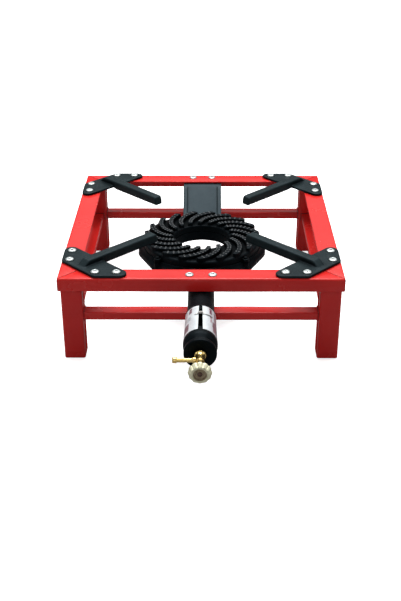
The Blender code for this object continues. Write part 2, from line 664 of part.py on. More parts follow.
def shutter_spring():
    """A wire that hooks over both edges of the slot, with a small coil between and one long tail."""
    wire, coil, turns, per_turn = 0.55 * MM, 1.5 * MM, 3, 8
    base = shutter_radius(SPRING_STATION) + SHUTTER_THICKNESS + wire + GAP
    points = [(-9.5 * MM, 0.35 * MM), (-7.5 * MM, 0.2 * MM), (-5 * MM, 0)]
    path = [on_band(across, lift + base, 0) for across, lift in points]
    for step in range(turns * per_turn + 1):
        angle = 2 * math.pi * step / per_turn - math.pi / 2
        across = -3.4 * MM + 6.8 * MM * step / (turns * per_turn)
        path.append(on_band(across, base + coil * (1 + math.sin(angle)), coil * math.cos(angle)))
    path += [on_band(across * MM, base + 0.1 * MM, 0) for across in (5, 8, 11, 14, 17)]
    curve = bpy.data.curves.new("shutter_spring", "CURVE")
    curve.dimensions = "3D"
    curve.bevel_depth = wire
    curve.bevel_resolution = 2
    curve.use_fill_caps = True
    curve.resolution_u = 1
    spline = curve.splines.new("POLY")
    spline.points.add(len(path) - 1)
    for point, place in zip(spline.points, path):
        point.co = (*place, 1)
    add_part("shutter_spring", curve, ZINC, forwards(0), ALONG_TUBE)


def on_band(across, radius, along):
    """A point over the slot, this far round from the middle and this far along from the spring's station."""
    angle = across / radius
    return (radius * math.sin(angle), radius * math.cos(angle), SPRING_STATION + along)


# ---------------------------------------------------------------- valve

def valve_piece(name, outer, bore, look, steps=18):
    """A turned brass piece on the tube's axis: its outer side, then its bore if it has one."""
    profile = [(radius, DISC_FRONT + height) for radius, height in outer + bore]
    return turn(add_part(name, turned(name, profile, steps, closed=bool(bore)), look, forwards(0), ALONG_TUBE))


def valve_body():
    neck, body = NECK_RADIUS, BODY_RADIUS
    outer = [(4.6 * MM, BODY_FRONT), (body, BODY_FRONT - 0.8 * MM), (body, 6.5 * MM), (neck, 3.4 * MM),
             (neck, 0.3 * MM), (5 * MM, 0.3 * MM), (5 * MM, -8 * MM), (3 * MM, -8 * MM), (3 * MM, -2 * MM),
             (0.9 * MM, -2 * MM), (0.9 * MM, 3.5 * MM), (1.9 * MM, 5 * MM), (1.9 * MM, 19 * MM), (3.6 * MM, 19 * MM)]
    bore = [(3.6 * MM, BODY_FRONT)]
    valve = valve_piece("valve_body", outer, bore, BRASS)
    inlet = cylinders("valve_inlet", [(0, 0)], 2 * MM, 1 * MM, 8 * MM)
    boolean(valve, add_cutter("valve_inlet", inlet, forwards(DISC_FRONT + NOZZLE_STATION), (0, -math.pi / 2, 0)))


def hose_nozzle():
    """The gas inlet: a spigot in the valve's side, a collar, a stem and a ribbed tip for the hose."""
    tip = NOZZLE_TIP
    face = BODY_RADIUS + GAP
    profile = [(1.2 * MM, tip), (3 * MM, tip), (3.9 * MM, tip - 2.5 * MM), (3 * MM, tip - 2.5 * MM),
               (3.9 * MM, tip - 5 * MM), (3 * MM, tip - 5 * MM), (2.9 * MM, face + 4 * MM), (4 * MM, face + 3.5 * MM),
               (4 * MM, face), (1.7 * MM, face), (1.7 * MM, 2.4 * MM), (0.9 * MM, 2.4 * MM), (1.2 * MM, face)]
    nozzle = add_part("hose_nozzle", turned("hose_nozzle", profile, 12, closed=True), BRASS,
                      forwards(DISC_FRONT + NOZZLE_STATION), (0, -math.pi / 2, 0))
    turn(nozzle)


def injector_jet():
    outer = [(2.7 * MM, -2.3 * MM), (2.7 * MM, -8.5 * MM), (3.4 * MM, -8.5 * MM), (3.4 * MM, -11 * MM),
             (2 * MM, -13 * MM)]
    bore = [(0.5 * MM, -13 * MM), (0.5 * MM, -5 * MM), (1.1 * MM, -4 * MM), (1.1 * MM, -2.3 * MM)]
    valve_piece("injector_jet", outer, bore, BRASS, 12)


def stem_seal():
    outer = [(3.3 * MM, 22 * MM), (3.3 * MM, 19.3 * MM)]
    bore = [(1.9 * MM, 19.3 * MM), (1.9 * MM, 22 * MM)]
    valve_piece("stem_seal", outer, bore, SEAL, 16)


def gland_nut():
    """The nut that presses the packing: a hexagon with a spigot in the valve's mouth."""
    low, high = BODY_FRONT + GAP, BODY_FRONT + 6.5 * MM
    mesh = prism("gland_nut", hexagon(13 * MM), DISC_FRONT + low, DISC_FRONT + high)
    nut = add_part("gland_nut", mesh, BRASS, forwards(0), ALONG_TUBE)
    spigot = cylinders("gland_spigot", [(0, 0)], 3.3 * MM, DISC_FRONT + 22.3 * MM, DISC_FRONT + low + MM, 16)
    boolean(nut, add_cutter("gland_spigot", spigot, forwards(0), ALONG_TUBE), "UNION")
    bore = cylinders("gland_bore", [(0, 0)], STEM_RADIUS + GAP, DISC_FRONT + 20 * MM, DISC_FRONT + high + MM, 16)
    boolean(nut, add_cutter("gland_bore", bore, forwards(0), ALONG_TUBE))


def valve_spindle():
    """The needle: its point at the seat, a shoulder behind the knob and a tapped front end."""
    shoulder = KNOB_BACK - GAP
    outer = [(STEM_RADIUS, SPINDLE_FRONT), (STEM_RADIUS, shoulder), (2.8 * MM, shoulder),
             (2.8 * MM, shoulder - 1.6 * MM), (STEM_RADIUS, shoulder - 1.6 * MM), (STEM_RADIUS, 6.5 * MM), (0, 4 * MM)]
    tapped = [(0, SPINDLE_FRONT - 6 * MM), (1.1 * MM, SPINDLE_FRONT - 6 * MM), (1.1 * MM, SPINDLE_FRONT)]
    valve_piece("valve_spindle", tapped + outer, [], BRASS, 16)


def knob():
    """A scalloped hand wheel with a dished face, on the spindle's end."""
    points = []
    per_lobe = 6
    for step in range(KNOB_LOBES * per_lobe):
        angle = 2 * math.pi * step / (KNOB_LOBES * per_lobe)
        radius = KNOB_RADIUS - 1.1 * MM * (1 - abs(math.cos(angle * KNOB_LOBES / 2)))
        points.append((radius * math.cos(angle), radius * math.sin(angle)))
    low, high = DISC_FRONT + KNOB_BACK, DISC_FRONT + KNOB_FRONT
    wheel = add_part("knob", prism("knob", points, low, high), BRASS, forwards(0), ALONG_TUBE)
    outside = [(0, KNOB_FRONT), (11.5 * MM, KNOB_FRONT), (KNOB_RADIUS - 0.6 * MM, KNOB_FRONT - 5.5 * MM),
               (KNOB_RADIUS, KNOB_FRONT - 6.5 * MM), (KNOB_RADIUS, KNOB_BACK + 6 * MM), (8 * MM, KNOB_BACK),
               (0, KNOB_BACK)]
    shape = turned("knob_outside", [(radius, DISC_FRONT + height) for radius, height in outside], 24)
    boolean(wheel, turn(add_cutter("knob_outside", shape, forwards(0), ALONG_TUBE)), "INTERSECT")
    dish = [(0, KNOB_FRONT + MM), (8.6 * MM, KNOB_FRONT + MM), (8 * MM, KNOB_FRONT - 2.4 * MM),
            (4.4 * MM, KNOB_FRONT - 3.2 * MM), (STEM_RADIUS + GAP, KNOB_FRONT - 3.2 * MM),
            (STEM_RADIUS + GAP, KNOB_BACK - MM), (0, KNOB_BACK - MM)]
    hollow = turned("knob_dish", [(radius, DISC_FRONT + height) for radius, height in dish], 24)
    boolean(wheel, turn(add_cutter("knob_dish", hollow, forwards(0), ALONG_TUBE)))


def knob_screw():
    seat = KNOB_FRONT - 3.2 * MM + GAP
    outer = [(0, seat + 2 * MM), (2.6 * MM, seat + 2 * MM), (3.4 * MM, seat + 1.2 * MM), (3.4 * MM, seat),
             (0.8 * MM, seat), (0.8 * MM, seat - 4.5 * MM), (0, seat - 4.5 * MM)]
    valve_piece("knob_screw", outer, [], ZINC, 12)


def build():
    top_frame()
    lower_frame()
    pan_supports()
    rivets()
    rail_bolts()
    burner_body()
    burner_cap()
    cap_screws()
    rear_support_plate()
    rear_plate_screws()
    air_shutter()
    shutter_spring()
    valve_body()
    hose_nozzle()
    injector_jet()
    stem_seal()
    gland_nut()
    valve_spindle()
    knob()
    knob_screw()


build()
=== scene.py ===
"""The looks of the propane burner stand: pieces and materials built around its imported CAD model."""

import math
import random

import bmesh
import bpy
from mathutils import Matrix, Vector

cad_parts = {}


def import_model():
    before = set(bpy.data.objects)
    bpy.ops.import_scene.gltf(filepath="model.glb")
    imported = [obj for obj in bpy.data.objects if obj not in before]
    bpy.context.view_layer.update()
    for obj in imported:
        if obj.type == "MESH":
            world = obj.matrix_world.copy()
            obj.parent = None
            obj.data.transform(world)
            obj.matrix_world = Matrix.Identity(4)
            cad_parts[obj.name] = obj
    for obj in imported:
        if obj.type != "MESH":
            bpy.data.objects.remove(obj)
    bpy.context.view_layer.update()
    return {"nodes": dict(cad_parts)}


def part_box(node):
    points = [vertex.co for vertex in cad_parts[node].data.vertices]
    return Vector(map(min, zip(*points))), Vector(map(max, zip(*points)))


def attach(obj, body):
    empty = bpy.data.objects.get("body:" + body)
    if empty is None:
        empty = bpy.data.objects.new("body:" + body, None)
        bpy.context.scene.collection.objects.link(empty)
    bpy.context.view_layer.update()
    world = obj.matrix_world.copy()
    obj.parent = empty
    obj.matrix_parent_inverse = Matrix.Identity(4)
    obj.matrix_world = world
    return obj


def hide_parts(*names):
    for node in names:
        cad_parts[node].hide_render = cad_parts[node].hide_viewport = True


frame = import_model()

MM = 0.001
SHARP_ANGLE = math.radians(38)

# The stand
CAP_LOW, CAP_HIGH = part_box("burner_cap")
CENTRE_Y = (CAP_LOW.y + CAP_HIGH.y) / 2
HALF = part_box("top_rail_right")[1].x - 0.01 * MM
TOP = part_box("top_rail_front")[1].z
FLANGE_TOP = 30 * MM
FLANGE_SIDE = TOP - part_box("top_rail_front")[0].z
FLANGE_THICKNESS = 3 * MM
MITRE_GAP = 1.1 * MM
LEG_SIDE = 30 * MM
LEG_WALL = 2 * MM
LEG_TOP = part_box("leg_front_left")[1].z
LEG_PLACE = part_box("leg_front_right")[1].x - LEG_SIDE / 2
RAIL_WIDTH = 20 * MM
RAIL_LOW, RAIL_HIGH = (corner.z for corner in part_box("lower_rail_front"))
RAIL_HALF_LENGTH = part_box("lower_rail_front")[1].x
WELD_STEP = 1.1 * MM

# The pan supports
DIAGONAL = HALF * math.sqrt(2)
PLATE_LOW_ON_RAIL = TOP + 0.3 * MM
PLATE_HIGH = PLATE_LOW_ON_RAIL + 4 * MM
BAR_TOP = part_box("pan_support_front_left")[1].z - 0.02 * MM
BAR_WIDTH = 15.5 * MM
BAR_TIP = DIAGONAL - 101 * MM

# The burner
RING_OUTER = 91 * MM
RING_INNER = 44 * MM
BASE_OUTER = 100 * MM
BASE_HIGH = CAP_LOW.z - 0.3 * MM
BASE_LOW = BASE_HIGH - 16 * MM
BASE_FLOOR = BASE_LOW + 5 * MM
FIN_TOP = CAP_HIGH.z
DECK_TOP = FIN_TOP - 6 * MM
LUG_TOP = DECK_TOP - 5 * MM
FIN_COUNT = 19
FIN_SWEEP = (math.radians(18), math.radians(19))
FIN_WIDTHS = (6.6 * MM, 8.6 * MM)
PORTS_PER_ROW = 9
LUG_CIRCLE = 94.5 * MM
LUG_RADIUS = 5.4 * MM
LUG_ANGLES = (45, 135, 225, 315)
FLAT_MIDDLES = (25, 155, 205, 335)
FLAT_HALF_ANGLE = 16

# The mixing tube, its shutter and the valve; stations are distances in front of the burner's axis
AXIS_Z = sum(corner.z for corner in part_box("knob")) / 2
TUBE_RADIUS = 18.6 * MM
TUBE_BORE = 14.5 * MM
SEAT = (243 * MM, 309.5 * MM)
SEAT_RADII = (19.8 * MM, 21.4 * MM)
DISC_FRONT = CENTRE_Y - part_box("burner_body")[0].y
DISC_RADIUS = 21.7 * MM
SHUTTER_THICKNESS = 0.8 * MM
SHUTTER_SLOTS = (4.6 * MM, 6.6 * MM)
SPRING_STATION = 268 * MM
KNOB_RADIUS = 15.3 * MM
KNOB_BACK, KNOB_FRONT = 35.5 * MM, 50.5 * MM
KNOB_LOBES = 12

# The camera: place from the stand's centre, angles in degrees, sensor and lens in millimetres
CAMERA_PLACE = (9.5 * MM, -1410 * MM, 741.3 * MM)
CAMERA_PITCH, CAMERA_YAW, CAMERA_ROLL = 28.06, 0.48, -0.12
CAMERA_SENSOR, CAMERA_LENS = 36, 58.84592

SIDES = ("front", "right", "back", "left")
AT_CENTRE = (0, CENTRE_Y, 0)
ALONG_TUBE = Matrix.Translation((0, 0, AXIS_Z)) @ Matrix.Rotation(math.pi / 2, 4, "X")


# ---- materials

NOISE_ROUGHNESS = 0.55
NOISE_LOW, NOISE_HIGH = 0.3, 0.7


class Tree:
    """A shader node tree under construction, with short calls for its nodes."""

    def __init__(self, owner):
        owner.use_nodes = True
        self.tree = owner.node_tree

    def node(self, kind, settings=None, **inputs):
        made = self.tree.nodes.new("ShaderNode" + kind)
        for key, value in (settings or {}).items():
            setattr(made, key, value)
        self.fill(made, inputs)
        return made

    def fill(self, node, inputs):
        for key, value in inputs.items():
            self.put(node.inputs[key.replace("_", " ")], value)

    def put(self, socket, value):
        if isinstance(value, bpy.types.NodeSocket):
            self.tree.links.new(value, socket)
        elif isinstance(value, tuple) and len(value) == 3 and len(socket.default_value) == 4:
            socket.default_value = (*value, 1)
        else:
            socket.default_value = value

    def span(self, value, low, high, to_low=0.0, to_high=1.0):
        """Maps a value from one range to another, clamped."""
        made = self.node("MapRange", From_Min=low, From_Max=high, To_Min=to_low, To_Max=to_high, Value=value)
        return made.outputs["Result"]

    def maths(self, operation, *values, kind="Math"):
        made = self.node(kind, {"operation": operation})
        for socket, value in zip(made.inputs, values):
            self.put(socket, value)
        return made.outputs["Value"]

    def product(self, first, second):
        return self.maths("MULTIPLY", first, second)

    def mix(self, share, first, second):
        made = self.node("Mix", {"data_type": "RGBA"})
        self.put(made.inputs["Factor"], share)
        self.put(made.inputs[6], first)
        self.put(made.inputs[7], second)
        return made.outputs[2]


class Look(Tree):
    """A material under construction: a principled shader and the patterns that drive it."""

    def __init__(self, name):
        self.material = bpy.data.materials.new(name)
        super().__init__(self.material)
        self.shader = self.tree.nodes["Principled BSDF"]
        self.place = self.node("TexCoord").outputs["Object"]

    def noise(self, scale, detail=3, place=None):
        made = self.node("TexNoise", Scale=scale, Detail=detail, Roughness=NOISE_ROUGHNESS,
                         Vector=place or self.place)
        return made.outputs["Fac"]

    def uneven(self, scale, detail, low, high):
        """A value that drifts between two ends over the surface."""
        return self.span(self.noise(scale, detail), NOISE_LOW, NOISE_HIGH, low, high)

    def edges(self, radius):
        """High on edges and corners: where a rounded normal departs from the true one."""
        rounded = self.node("Bevel", {"samples": 4}, Radius=radius).outputs["Normal"]
        true = self.node("NewGeometry").outputs["Normal"]
        alike = self.maths("DOT_PRODUCT", rounded, true, kind="VectorMath")
        return self.span(self.maths("SUBTRACT", 1.0, alike), 0.02, 0.3)

    def crevices(self, reach, low, high):
        """High in gaps and recesses: where little of the sky is seen within reach."""
        seen = self.node("AmbientOcclusion", {"samples": 6}, Distance=reach).outputs["AO"]
        return self.span(seen, low, high, 1.0, 0.0)

    def stretched_noise(self, scale, detail):
        """Noise drawn out along the axes with the smaller scales."""
        stretched = self.node("Mapping", Vector=self.place, Scale=scale).outputs["Vector"]
        return self.noise(1, detail, place=stretched)

    def bump(self, height, strength, distance, under=None):
        made = self.node("Bump", Strength=strength, Distance=distance, Height=height)
        if under:
            self.put(made.inputs["Normal"], under)
        return made.outputs["Normal"]

    def finish(self, **inputs):
        self.fill(self.shader, inputs)
        return self.material


def red_paint(name, deep, bright, gloss):
    """Sprayed enamel: slow colour drift, orange peel, dust in the gloss, and thin spots along edges."""
    look = Look(name)
    drift = look.noise(9, 2)
    colour = look.mix(look.span(drift, 0.35, 0.65), deep, bright)
    specks = look.span(look.noise(900, 2), 0.72, 0.8)
    colour = look.mix(look.product(specks, 0.25), colour, (0.12, 0.01, 0.01))
    thin = look.product(look.edges(0.8 * MM), look.span(look.noise(140, 4), 0.52, 0.64))
    colour = look.mix(look.product(thin, 0.35), colour, (0.26, 0.03, 0.025))
    rough = look.uneven(18, 4, gloss - 0.03, gloss + 0.05)
    peel = look.bump(look.noise(420, 2), 0.12, 0.1 * MM)
    waves = look.bump(look.noise(30, 2), 0.08, 0.2 * MM, peel)
    facing = look.node("LayerWeight", Blend=0.5).outputs["Facing"]
    sheen = look.span(facing, 0.7, 0.9, 0.32, 0.0)
    return look.finish(Base_Color=colour, Roughness=rough, Normal=waves, Specular_IOR_Level=sheen)


def cast_iron(name, dark, light, gloss, grain, shine):
    """Painted casting: pebbled grain, cloudy tone, slightly polished edges, and painted shade that darkens
    its crevices and dulls their gloss.
    """
    look = Look(name)
    cloudy = look.span(look.noise(26, 4), 0.32, 0.68)
    colour = look.mix(cloudy, dark, light)
    edge = look.product(look.edges(1.0 * MM), look.span(look.noise(180, 3), 0.4, 0.65))
    worn = tuple(channel * 2.4 + 0.006 for channel in light)
    colour = look.mix(look.product(edge, 0.55), colour, worn)
    # Painted shade: crevices, where little light reaches, turn near black and lose most of their gloss.
    crevice_shade = look.crevices(12 * MM, 0.5, 0.98)
    colour = look.mix(crevice_shade, colour, (0.0006, 0.0008, 0.001))
    shine = look.span(crevice_shade, 0, 1, shine, shine * 0.15)
    rough = look.uneven(320, 4, gloss - 0.1, gloss + 0.12)
    fine = look.bump(look.noise(1300, 3), grain, 0.25 * MM)
    coarse = look.bump(look.noise(330, 3), grain, 0.45 * MM, fine)
    return look.finish(Base_Color=colour, Roughness=rough, Normal=coarse, Specular_IOR_Level=shine,
                       Specular_Tint=(0.66, 0.84, 1.0))


def bright_metal(name, colour, dull, gloss, turning=0.0, stain=(0.3, 0.28, 0.25), stained=0.25, metal=1.0):
    """Plated or turned metal: soft stains, dirt and painted shade in recesses, scratches and, if asked, tool
    rings along Z.
    """
    look = Look(name)
    cloud = look.span(look.noise(160, 4), 0.45, 0.75)
    tone = look.mix(look.product(cloud, 0.6), colour, dull)
    dirty = look.product(look.span(look.noise(340, 5), 0.56, 0.72), stained)
    tone = look.mix(dirty, tone, stain)
    # Recesses darkened towards a dark stain colour: partly dirt, partly painted shade.
    grime_and_shade = tuple(channel * 0.35 for channel in stain)
    tone = look.mix(look.product(look.crevices(4 * MM, 0.3, 0.85), 0.8), tone, grime_and_shade)
    rough = look.uneven(700, 4, gloss - 0.06, gloss + 0.14)
    normal = look.bump(look.noise(2200, 3), 0.15, 0.06 * MM)
    if turning:
        normal = look.bump(look.stretched_noise((40, 40, 2600), 2), turning, 0.08 * MM, normal)
    return look.finish(Base_Color=tone, Roughness=rough, Normal=normal, Metallic=metal)


def speckled(name, first, second, scales, rough, bump, metal=0.0):
    """A plain speckled surface. The scales are for its colour, its roughness and its bump."""
    look = Look(name)
    tone = look.mix(look.noise(*scales[0]), first, second)
    return look.finish(Base_Color=tone, Roughness=look.uneven(scales[1], 3, *rough), Metallic=metal,
                       Normal=look.bump(look.noise(scales[2]), bump, 0.1 * MM))


def printed_sheet():
    """The shutter's bright sheet with faded printed patches and a stretch of painted shade, laid out round
    the band (U) and along it (V).
    """
    look = Look("printed_bright_sheet")
    split = look.node("SeparateXYZ", Vector=look.node("UVMap").outputs["UV"])
    around, along = split.outputs["X"], split.outputs["Y"]
    around = look.maths("ADD", around, look.span(look.noise(420, 4), 0.0, 1.0, -0.012, 0.012))

    def patch(left, right, back, front):
        soft = 0.004
        inside = look.span(around, left - soft, left + soft)
        for value, low, high in ((around, right + soft, right - soft), (along, back - 0.02, back + 0.02),
                                 (along, front + 0.02, front - 0.02)):
            inside = look.product(inside, look.span(value, low, high))
        return inside

    silver = look.mix(look.span(look.noise(60, 2), 0.4, 0.6), (0.74, 0.79, 0.81), (0.82, 0.87, 0.89))
    brushed = look.stretched_noise((900, 900, 60), 3)
    silver = look.mix(look.span(brushed, 0.45, 0.7, 0.0, 0.5), silver, (0.44, 0.48, 0.51))
    # Painted shade: a darker stretch round part of the band, for the dark reflection on its curve.
    painted_shade_band = look.product(look.span(around, 0.03, 0.2), look.span(around, 0.5, 0.3))
    tone = look.mix(look.product(painted_shade_band, 0.6), silver, (0.34, 0.37, 0.40))
    faded = look.span(look.noise(420, 2), 0.35, 0.6, 0.7, 0.95)
    for area, colour in print_layout():
        tone = look.mix(look.product(patch(*area), faded), tone, colour)
    rough = look.uneven(300, 3, 0.28, 0.42)
    creases = look.bump(look.noise(55, 2), 0.12, 0.4 * MM)
    normal = look.bump(brushed, 0.12, 0.05 * MM, creases)
    return look.finish(Base_Color=tone, Roughness=rough, Metallic=0.3, Normal=normal, Specular_IOR_Level=0.6)


def print_layout():
    """Patches of faded print: their shares round the band from the slot, then along it, and their colour."""
    maroon, pale_maroon, grey = (0.13, 0.012, 0.035), (0.36, 0.17, 0.21), (0.33, 0.34, 0.37)
    areas = [((0.886, 0.922, 0.02, 0.24), maroon), ((0.836, 0.852, 0.02, 0.30), pale_maroon),
             ((0.822, 0.892, 0.62, 0.92), maroon), ((0.800, 0.812, 0.60, 0.94), pale_maroon),
             ((0.080, 0.112, 0.02, 0.26), maroon), ((0.086, 0.104, 0.30, 0.60), pale_maroon),
             ((0.112, 0.146, 0.52, 0.94), maroon), ((0.147, 0.176, 0.06, 0.94), maroon),
             ((0.45, 0.56, 0.1, 0.9), maroon)]
    marks = [((0.824 + 0.024 * step, 0.836 + 0.024 * step, 0.37, 0.53), grey) for step in range(4)]
    return areas + marks


RED = red_paint("red_enamel", (0.60, 0.017, 0.015), (0.70, 0.024, 0.020), 0.24)
WELD_RED = red_paint("red_enamel_on_weld", (0.24, 0.005, 0.006), (0.42, 0.008, 0.009), 0.34)
JOINT_LINE = red_paint("dark_joint_line", (0.012, 0.001, 0.001), (0.03, 0.002, 0.002), 0.6)
CHARCOAL = cast_iron("charcoal_casting", (0.0060, 0.0120, 0.0130), (0.012, 0.0205, 0.022), 0.48, 0.3, 0.16)
BLACK = cast_iron("black_casting", (0.0014, 0.0026, 0.0032), (0.0042, 0.0068, 0.0082), 0.42, 0.35, 0.07)
PLATE = cast_iron("dark_grey_plate", (0.026, 0.037, 0.041), (0.036, 0.050, 0.055), 0.44, 0.12, 0.2)
ZINC = bright_metal("zinc_plated_steel", (0.62, 0.67, 0.66), (0.46, 0.52, 0.51), 0.34, metal=0.8)
BRASS = bright_metal("turned_brass", (0.90, 0.66, 0.24), (0.78, 0.50, 0.16), 0.20, 0.3, (0.40, 0.20, 0.05))
OLD_BRASS = bright_metal("tarnished_brass", (0.84, 0.82, 0.58), (0.60, 0.58, 0.38), 0.36, 0.15,
                         (0.24, 0.15, 0.07), 0.55, metal=0.6)
# Painted shade: a darker brass for the knob's dished face, as if its hollow lay in shade.
DISH_SHADE_BRASS = bright_metal("knob_dish_painted_shade", (0.58, 0.48, 0.32), (0.34, 0.24, 0.15), 0.42, 0.0,
                            (0.12, 0.05, 0.04), 0.6, metal=0.5)
DARK_SCREW = bright_metal("dark_screw", (0.20, 0.13, 0.10), (0.12, 0.09, 0.07), 0.4)
SPRING_WIRE = bright_metal("spring_wire", (0.74, 0.73, 0.70), (0.46, 0.42, 0.37), 0.3)
PORT_RIM = speckled("port_rim_metal", (0.07, 0.08, 0.085), (0.22, 0.23, 0.235), ((900, 2), 400, 1500),
                    (0.35, 0.55), 0.3, metal=0.5)
# Painted shade: near black for the inside of each port hole, drawn as a shallow floor.
PORT_HOLE_SHADE = speckled("port_hole_painted_shade", (0.002, 0.002, 0.002), (0.006, 0.006, 0.006), ((700, 2), 500, 900),
                     (0.7, 0.9), 0.2)
SHEET = printed_sheet()
PACKING = speckled("white_packing", (0.75, 0.75, 0.72), (0.88, 0.88, 0.85), ((500,), 300, 1500),
                   (0.5, 0.7), 0.2)


# ---- mesh helpers

def piece(name, bm, looks, nodes, body="stand", transform=None, location=AT_CENTRE):
    """Makes a visual piece from a bmesh, riding on a CAD body and standing for CAD nodes."""
    if transform:
        bmesh.ops.transform(bm, matrix=transform, verts=bm.verts)
    placed(name, as_mesh(bm, name), looks, nodes, body, location)


def as_mesh(bm, name):
    """Turns a bmesh into a mesh, facing outwards and smooth but for its sharp edges."""
    bmesh.ops.recalc_face_normals(bm, faces=bm.faces)
    for face in bm.faces:
        face.smooth = True
    for edge in bm.edges:
        edge.smooth = edge.calc_face_angle(0) < SHARP_ANGLE
    mesh = bpy.data.meshes.new(name)
    bm.to_mesh(mesh)
    bm.free()
    return mesh


def linked(name, data):
    """A new object in the scene."""
    obj = bpy.data.objects.new(name, data)
    bpy.context.scene.collection.objects.link(obj)
    return obj


def placed(name, mesh, looks, nodes, body="stand", location=AT_CENTRE, turn_z=0.0):
    if not mesh.materials:
        for look in looks if isinstance(looks, tuple) else (looks,):
            mesh.materials.append(look)
    obj = linked(name, mesh)
    obj.location = location
    obj.rotation_euler.z = turn_z
    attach(obj, body)
    if nodes:
        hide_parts(*nodes)


def fillet(points, closed=False, steps=3):
    """Rounds a polyline's corners. Each point is (x, y) or (x, y, radius)."""
    made = []
    count = len(points)
    for index, point in enumerate(points):
        radius = point[2] if len(point) > 2 else 0
        here = Vector(point[:2])
        if not radius or (not closed and index in (0, count - 1)):
            made.append(tuple(here))
            continue
        before, after = Vector(points[index - 1][:2]), Vector(points[(index + 1) % count][:2])
        start = here + (before - here).normalized() * min(radius, (before - here).length * 0.45)
        end = here + (after - here).normalized() * min(radius, (after - here).length * 0.45)
        for step in range(steps + 1):
            share = step / steps
            spot = start * (1 - share) ** 2 + here * 2 * share * (1 - share) + end * share ** 2
            made.append(tuple(spot))
    return made


def neighbours(items, closed):
    """Each item with the next one, and the last with the first if they close."""
    return list(zip(items, items[1:])) + ([(items[-1], items[0])] if closed else [])


def loft(bm, rings, closed=False):
    """Joins rings of equal count. The ends are closed unless the last ring meets the first."""
    made = [[bm.verts.new(point) for point in ring] for ring in rings]
    count = len(made[0])
    for first, second in neighbours(made, closed):
        for index in range(count):
            after = (index + 1) % count
            bm.faces.new((first[index], first[after], second[after], second[index]))
    if not closed:
        bm.faces.new(made[0])
        bm.faces.new(made[-1])
    return made


def lofted(rings, closed=False):
    """A new shape made by one loft."""
    bm = bmesh.new()
    loft(bm, rings, closed)
    return bm


def lathe(profile, steps, closed=False, limit=None):
    """Turns a profile of (radius, height) about Z. A limit caps the radius at each angle."""
    bm = bmesh.new()
    rows = []
    for radius, height in profile:
        if radius < 1e-7:
            rows.append([bm.verts.new((0, 0, height))])
            continue
        row = []
        for angle in turns(steps):
            reach = min(radius, limit(angle)) if limit else radius
            row.append(bm.verts.new((*polar(reach, angle), height)))
        rows.append(row)
    for first, second in neighbours(rows, closed):
        for index in range(steps):
            after = (index + 1) % steps
            corners = [first[index % len(first)], first[after % len(first)],
                       second[after % len(second)], second[index % len(second)]]
            bm.faces.new(list(dict.fromkeys(corners)))
    return bm


def prism(outline, low, high):
    return lofted([[(x, y, height) for x, y in outline] for height in (low, high)])


def rounded_square(half_x, half_y, radius, steps=5):
    points = []
    for quarter, (x, y) in enumerate(((1, 1), (-1, 1), (-1, -1), (1, -1))):
        for step in range(steps + 1):
            across, up = polar(radius, math.pi / 2 * (quarter + step / steps))
            points.append((x * (half_x - radius) + across, y * (half_y - radius) + up))
    return points


def arc(centre, radius, start, end, steps):
    angles = (math.radians(start + (end - start) * step / steps) for step in range(steps + 1))
    return [(centre[0] + radius * math.cos(angle), centre[1] + radius * math.sin(angle)) for angle in angles]


def polar(radius, angle):
    return radius * math.cos(angle), radius * math.sin(angle)


def turns(count):
    """Evenly spaced angles round a full turn."""
    return [math.tau * step / count for step in range(count)]


def hoop(centre, side, up, radius, sides):
    """A ring of points round a centre, in the plane of two directions."""
    return [centre + (side * math.cos(angle) + up * math.sin(angle)) * radius for angle in turns(sides)]


def quarter_turn(quarter):
    return Matrix.Rotation(quarter * math.pi / 2, 4, "Z")


def heading(path, index):
    """The direction of a path at one of its points."""
    return (path[min(index + 1, len(path) - 1)] - path[max(index - 1, 0)]).normalized()


def in_mm(points, base=0):
    """Points (across, height) or (across, height, rounding) in millimetres, heights from a base."""
    return [(across * MM, base + height * MM, *(value * MM for value in rest))
            for across, height, *rest in points]


def merged(bm, other):
    """Adds another bmesh's shape to this one."""
    spare = as_mesh(other, "spare")
    bm.from_mesh(spare)
    bpy.data.meshes.remove(spare)
    return bm


def baked(bm, setups):
    """Runs modifiers on a shape and returns the result as a new bmesh. Each setup is (type, settings)."""
    obj = linked("bake", as_mesh(bm, "bake"))
    for kind, settings in setups:
        modifier = obj.modifiers.new(kind.lower(), kind)
        for key, value in settings.items():
            setattr(modifier, key, value)
    bpy.context.view_layer.update()
    result = bpy.data.meshes.new_from_object(obj.evaluated_get(bpy.context.evaluated_depsgraph_get()))
    made = bmesh.new()
    made.from_mesh(result)
    bpy.data.objects.remove(obj)
    bpy.data.meshes.remove(result)
    return made


def bevelled(bm, width, angle):
    """Softens every edge sharper than an angle in degrees."""
    return baked(bm, (("BEVEL", {"width": width, "segments": 2, "limit_method": "ANGLE",
                                 "angle_limit": math.radians(angle)}),))


def cut(bm, tool_bm):
    """Takes one closed shape out of another."""
    tool = linked("tool", as_mesh(tool_bm, "tool"))
    made = baked(bm, (("BOOLEAN", {"operation": "DIFFERENCE", "solver": "EXACT", "object": tool}),))
    bpy.data.objects.remove(tool)
    return made


def slotted(bm, bottom, top):
    """Cuts a screwdriver's slot into a head."""
    return cut(bm, prism(rounded_square(4 * MM, 0.45 * MM, 0.1 * MM, 1), bottom, top))


def cast(bm, voxel, smoothing):
    """Fuses overlapping closed shapes into one casting with soft edges and small fillets."""
    return baked(bm, (("REMESH", {"mode": "VOXEL", "voxel_size": voxel, "use_smooth_shade": True}),
                      ("SMOOTH", {"factor": 0.5, "iterations": smoothing})))


